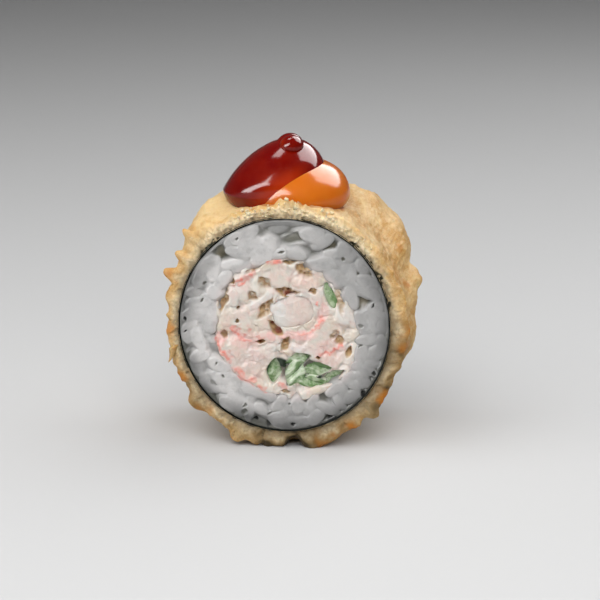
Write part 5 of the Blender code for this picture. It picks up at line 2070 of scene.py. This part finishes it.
    def face(self, side: Side) -> Shell:
        """Half of the filling, from one cut face to the roll's middle: the shreds' surface on rings."""
        share = np.linspace(0, 1, self.steps_out)
        share, angle = np.meshgrid(share, turns(self.steps_round), indexing="ij")
        filling = self.section.filling_at(angle)
        outer = filling + self.overlap
        radius = outer * share
        place = around(radius, angle, side.value * NOISE_REACH)
        x, z = self.warp.moved(place, place[..., 0], place[..., 2])
        shape = (self.softness, self.squareness, self.flatness)
        height, _, tone, tint = self.shreds(side).surface(x, z, *shape)
        height = self.middle + self.relief * (np.maximum(height, self.floor) - self.middle)
        sizes = [np.hypot(noise.at(place), self.flake_roundness) for noise in self.flakes]
        flakes = sum(weight * size for weight, size in zip(self.flake_shares, sizes))
        height += self.flake_height * (flakes - self.flake_level) + self.grain.at(place)
        masks = [hollow.mask(x, z, self.hollow_power) for hollow in self.hollows]
        hollow = np.max(masks, axis=0) * np.clip(self.hollow_base + self.hollow_noise.at(place), 0, 1)
        warm = np.max([patch.warmth * mask for patch, mask in zip(self.hollows, masks)], axis=0)
        height += self.edge_rise.at(radius - filling) - self.hollow_depth * hollow
        bed = self.bed(place[..., 0], place[..., 2])
        height = height * (1 - bed) + (self.floor - self.bed_depth) * bed
        height = ceiling(height, self.top, self.top_softness) - self.edge_fall.at(radius - filling)
        streaked = strongest(self.streaks, *self.rag.moved(place, x, z))
        streaked = streaked * (self.coral_base + self.coral_noise.at(place))
        netted = strongest(self.nets, x, z) * self.strands.at(together(self.strand_noise, place))
        coral = np.maximum(streaked, netted)
        height = height + self.coral_height * coral * (1 - bed)
        # Painted shade in the hollows and where the surface lies deep.
        sunk = hollow * (self.hollow_share + self.hollow_tones.at(place)) + self.deep.at(height)
        marks = {
            "tone": tone,
            "blush": np.maximum(self.tint_share * tint, strongest(self.blushes, x, z)),
            "coral": coral,
            "hollow": np.clip(sunk + self.warm_share * warm, 0, 1),
            # Near-black painted shade by the cucumber.
            "black": strongest(self.blacks, x, z),
        }
        along = side.value * (self.section.depth / 2 + height)
        along = np.concatenate([along, np.zeros((2, self.steps_round))])
        radius = np.concatenate([radius, outer[-1:], 0 * outer[-1:]])
        points = self.section.points(radius, angle[:1], along)
        marks = {mark: np.pad(values, ((0, 2), (0, 0)), mode="edge") for mark, values in marks.items()}
        return capped_shell(points, **marks)

    def stick(self) -> Shell:
        """The whole stick: its section carried along the roll, with rounded ends that bulge and dip."""
        bar = Bar(
            STICK,
            self.section,
            half_reach=12.9 * MM,
            rounding=0.9 * MM,
            columns=110,
            face_rings=26,
            side_rings=30,
            unevenness=0.22 * MM,
            raggedness=0.18 * MM,
            seed=58,
        )
        points, share, _ = bar.points()
        shaded = self.stick_tone.at(points[..., 0])
        low_rim = self.stick_rim.at(share) * self.stick_low.at(points[..., 2] - self.section.axis_height)
        right, below = self.stick_blushes
        none = np.zeros(share.shape)
        marks = {
            "tone": 1 - self.stick_shade * shaded,
            "blush": right * shaded + below * low_rim,
            "coral": self.stick_coral * low_rim,
        }
        return capped_shell(points, **marks, hollow=none, black=none)

    def build(self) -> list[bpy.types.Object]:
        """Builds the salad and the whole stick in it.

        Returns:
            One piece for each cut face, and the stick.
        """
        material = CrabFinish().material(self.effects)
        pieces = []
        for side in Side:
            piece = self.face(side).piece(f"crab_shreds_{side.name.lower()}", material)
            pieces.append(dress(piece, "crab", "crab_salad"))
        stick = self.stick().piece("whole_crab_stick", material)
        return [*pieces, dress(stick, "crab", "crab_stick")]


@dataclass
class Cucumber:
    """The strips of cucumber in the filling, each with its skin on one side."""

    section: RollSection
    effects: Effects
    face_recess: float = 1.5 * MM
    rounding: float = 0.35 * MM
    unevenness: float = 0.16 * MM
    raggedness: float = 0.45 * MM
    columns: int = 120
    face_rings: int = 34
    side_rings: int = 16
    bar_seed: int = 80
    drawn_share: float = 0.2
    fold_depth: float = 0.55 * MM
    fold_width: float = 2.7 * MM
    fold_turn: float = 62.0
    fold_step: float = 0.8
    fold_noise: Noise = Noise(1.8, 110, 0.8)
    fold_inner: Ramp = Ramp(1.0, 0.85)
    fold_end: Ramp = Ramp(-1.5 * MM, -0.6 * MM)
    wander: Noise = Noise(0.9, 90, 0.25)
    skin: Ramp = Ramp(0.60, 0.90)
    skin_base: float = 0.6
    border: Ramp = Ramp(0.80, 0.98, 0.8)
    border_wander: float = 0.2
    flesh: Ramp = Ramp(-0.3, 0.3)
    # Painted shade in the folds' grooves, in the skin's colour; a painted highlight in pale on their crests;
    # painted shade in green on one flank of each fold.
    groove_shade: Ramp = Ramp(0.30, 0.0, 0.75)
    groove_wander: Ramp = Ramp(-0.12, 0.10)
    crest: Ramp = Ramp(0.93, 0.995, 0.8)
    crest_wander: Ramp = Ramp(0.14, -0.10)
    flank_shade: Ramp = Ramp(-0.3, 0.3, 0.3)
    green_base: float = 0.1
    green_wander: float = 1.5
    green: Ramp = Ramp(-0.5, 0.6)

    def strip(self, number: int, strip: CucumberStrip) -> Shell:
        """One strip: its ends creased by straight folds, with skin along one side of its section, and painted
        shade and highlights on the folds.
        """
        reach = self.section.depth / 2 - self.face_recess + strip.proud * MM
        rings = (self.columns, self.face_rings, self.side_rings)
        seed = self.bar_seed + 2 * number
        bar = Bar(strip, self.section, reach, self.rounding, *rings, self.unevenness, self.raggedness, seed)
        points, share, across = bar.points()
        place = points * np.array([1.0, self.drawn_share, 1.0])
        fold_noise, wander = (
            replace(noise, seed=noise.seed + number).at(place) for noise in (self.fold_noise, self.wander)
        )
        turn = math.radians(strip.lean + self.fold_turn)
        run = place[..., 0] * math.cos(turn) + place[..., 2] * math.sin(turn)
        phase = math.pi * run / self.fold_width + fold_noise + self.fold_step * number
        ridge = np.abs(np.sin(phase))
        end = self.fold_inner.at(share) * self.fold_end.at(np.abs(points[..., 1]) - reach)
        points[..., 1] -= np.sign(points[..., 1]) * strip.folds * self.fold_depth * end * (1 - ridge)
        side = strip.skin_side * across
        skin = self.skin.at(side + wander) * (self.skin_base + wander)
        green = strip.green * self.green.at(side + self.green_wander * wander)
        border = self.border.at(share + self.border_wander * wander) * self.flesh.at(-side)
        # Painted shade in the grooves, a painted highlight on the crests and painted shade on one flank.
        groove_shade = strip.folds * self.groove_shade.at(ridge) * self.groove_wander.at(wander)
        crest = strip.folds * self.crest.at(ridge) * self.crest_wander.at(wander)
        flank_shade = strip.folds * self.flank_shade.at(np.sin(2 * phase))
        # The skin mark also carries the grooves' painted shade, the green mark the flanks' painted shade, and
        # the pale mark the crests' painted highlights.
        marks = {"skin": skin + groove_shade, "green": self.green_base + green + flank_shade, "pale": border + crest}
        return capped_shell(points, **{mark: np.clip(values, 0, 1) for mark, values in marks.items()})

    def build(self) -> list[bpy.types.Object]:
        """Builds the strips.

        Returns:
            One piece for each strip.
        """
        material = CucumberFinish().material(self.effects)
        pieces = []
        for number, strip in enumerate(CUCUMBER_STRIPS):
            piece = self.strip(number, strip).piece(f"cucumber_stick_{number + 1}", material)
            pieces.append(dress(piece, "cucumber", f"cucumber_strip_{number + 1}"))
        return pieces


@dataclass(frozen=True)
class Softbox:
    """A rectangular studio light: its place, size, power in watts, colour, aim and what it lights."""

    name: str
    place: Place
    width: float
    height: float
    power: float
    colour: Colour = (1.0, 1.0, 1.0)
    aim: Place = (0.0, 0.0, 0.03)
    glossy: bool = True
    diffuse: bool = True
    roll: float = 0.0

    def build(self) -> None:
        """Adds the light to the scene."""
        light = bpy.data.lights.new(self.name, "AREA")
        light.shape = "RECTANGLE"
        light.size = self.width
        light.size_y = self.height
        light.energy = self.power
        light.color = self.colour
        holder = bpy.data.objects.new(self.name, light)
        holder.location = self.place
        roll = Matrix.Rotation(math.radians(self.roll), 3, "Z")
        holder.rotation_euler = (Euler(facing(self.place, self.aim)).to_matrix() @ roll).to_euler()
        holder.visible_glossy = self.glossy
        holder.visible_diffuse = self.diffuse
        bpy.context.scene.collection.objects.link(holder)


def facing(place: Place, aim: Place) -> Place:
    """The rotation that makes a light or camera at one place look at another, with no roll."""
    across, along, up = (a - p for a, p in zip(aim, place))
    flat = math.hypot(across, along)
    return (math.atan2(flat, -up), 0.0, math.atan2(-across, along))


@dataclass
class Studio:
    """The pale floor, the soft lights and the camera."""

    effects: Effects
    aim: Place = (3.05 * MM, -13.5 * MM, 31.76 * MM)
    distance: float = 420.0 * MM
    azimuth: float = 4.0
    elevation: float = 16.5
    lens: float = 126.0
    sensor_width: float = 36.0
    clip_start: float = 0.01
    floor_size: float = 6.0
    floor_colour: Colour = (0.55, 0.55, 0.55)
    floor_roughness: float = 0.85
    sky: Colour = (0.80, 0.80, 0.80)
    sky_strength: float = 0.12
    lights: tuple[Softbox, ...] = (
        Softbox("back_right_softbox", (0.27, 0.25, 0.41), 0.56, 0.44, 7.8, diffuse=False),
        Softbox("left_strip", (-0.48, -0.36, 0.17), 0.95, 0.22, 12.0, diffuse=False, roll=46.0),
        Softbox("overhead_card", (-0.12, 0.10, 0.55), 0.22, 0.14, 0.90, diffuse=False),
        Softbox("top_right_fill", (0.25, 0.05, 0.45), 0.5, 0.5, 1.2, glossy=False),
        Softbox("top_left_fill", (-0.30, -0.12, 0.42), 0.4, 0.4, 1.5, glossy=False),
        Softbox("front_fill", (0.03, -0.34, 0.36), 0.4, 0.3, 1.6, glossy=False),
    )

    def build(self) -> None:
        """Builds the floor, sky, lights and camera."""
        self.floor()
        self.world()
        for light in self.lights:
            light.build()
        self.camera()
        bpy.context.scene.view_settings.view_transform = "Standard"

    def floor(self) -> None:
        """A plain pale floor that the roll stands on."""
        half = self.floor_size / 2
        mesh = bpy.data.meshes.new("floor")
        corners = [(-half, -half, 0.0), (half, -half, 0.0), (half, half, 0.0), (-half, half, 0.0)]
        mesh.from_pydata(corners, [], [(0, 1, 2, 3)])
        paint = Paint("floor", self.effects, Roughness=self.floor_roughness)
        paint.colour = self.floor_colour
        mesh.materials.append(paint.finished())
        floor = bpy.data.objects.new("floor", mesh)
        bpy.context.scene.collection.objects.link(floor)

    def world(self) -> None:
        """An even pale sky."""
        world = bpy.data.worlds.new("studio")
        world.use_nodes = True
        backdrop = world.node_tree.nodes["Background"]
        backdrop.inputs["Color"].default_value = (*self.sky, 1.0)
        backdrop.inputs["Strength"].default_value = self.sky_strength
        bpy.context.scene.world = world

    def camera(self) -> None:
        """The camera, a little to the right of the roll's axis and above it."""
        azimuth, elevation = math.radians(self.azimuth), math.radians(self.elevation)
        flat = self.distance * math.cos(elevation)
        place = (
            self.aim[0] + flat * math.sin(azimuth),
            self.aim[1] - flat * math.cos(azimuth),
            self.aim[2] + self.distance * math.sin(elevation),
        )
        camera = bpy.data.objects.new("camera", bpy.data.cameras.new("camera"))
        camera.data.lens = self.lens
        camera.data.sensor_width = self.sensor_width
        camera.data.clip_start = self.clip_start
        camera.location = place
        camera.rotation_euler = facing(place, self.aim)
        bpy.context.scene.collection.objects.link(camera)
        bpy.context.scene.camera = camera


def main() -> None:
    """Builds the studio and the food, and reports each piece."""
    logging.basicConfig(level=logging.INFO, format="%(message)s")
    section = RollSection()
    effects = Effects()
    Studio(effects).build()
    dollop = Dollop(section, effects)
    makers = (
        Crust(section, dollop, effects),
        Nori(section, effects),
        Rice(section, effects),
        CrabSalad(section, effects),
        Cucumber(section, effects),
        dollop,
    )
    for maker in makers:
        for piece in maker.build():
            triangles = sum(len(face.vertices) - 2 for face in piece.data.polygons)
            LOG.info("%s: %d triangles", piece.name, triangles)


if __name__ == "__main__":
    main()
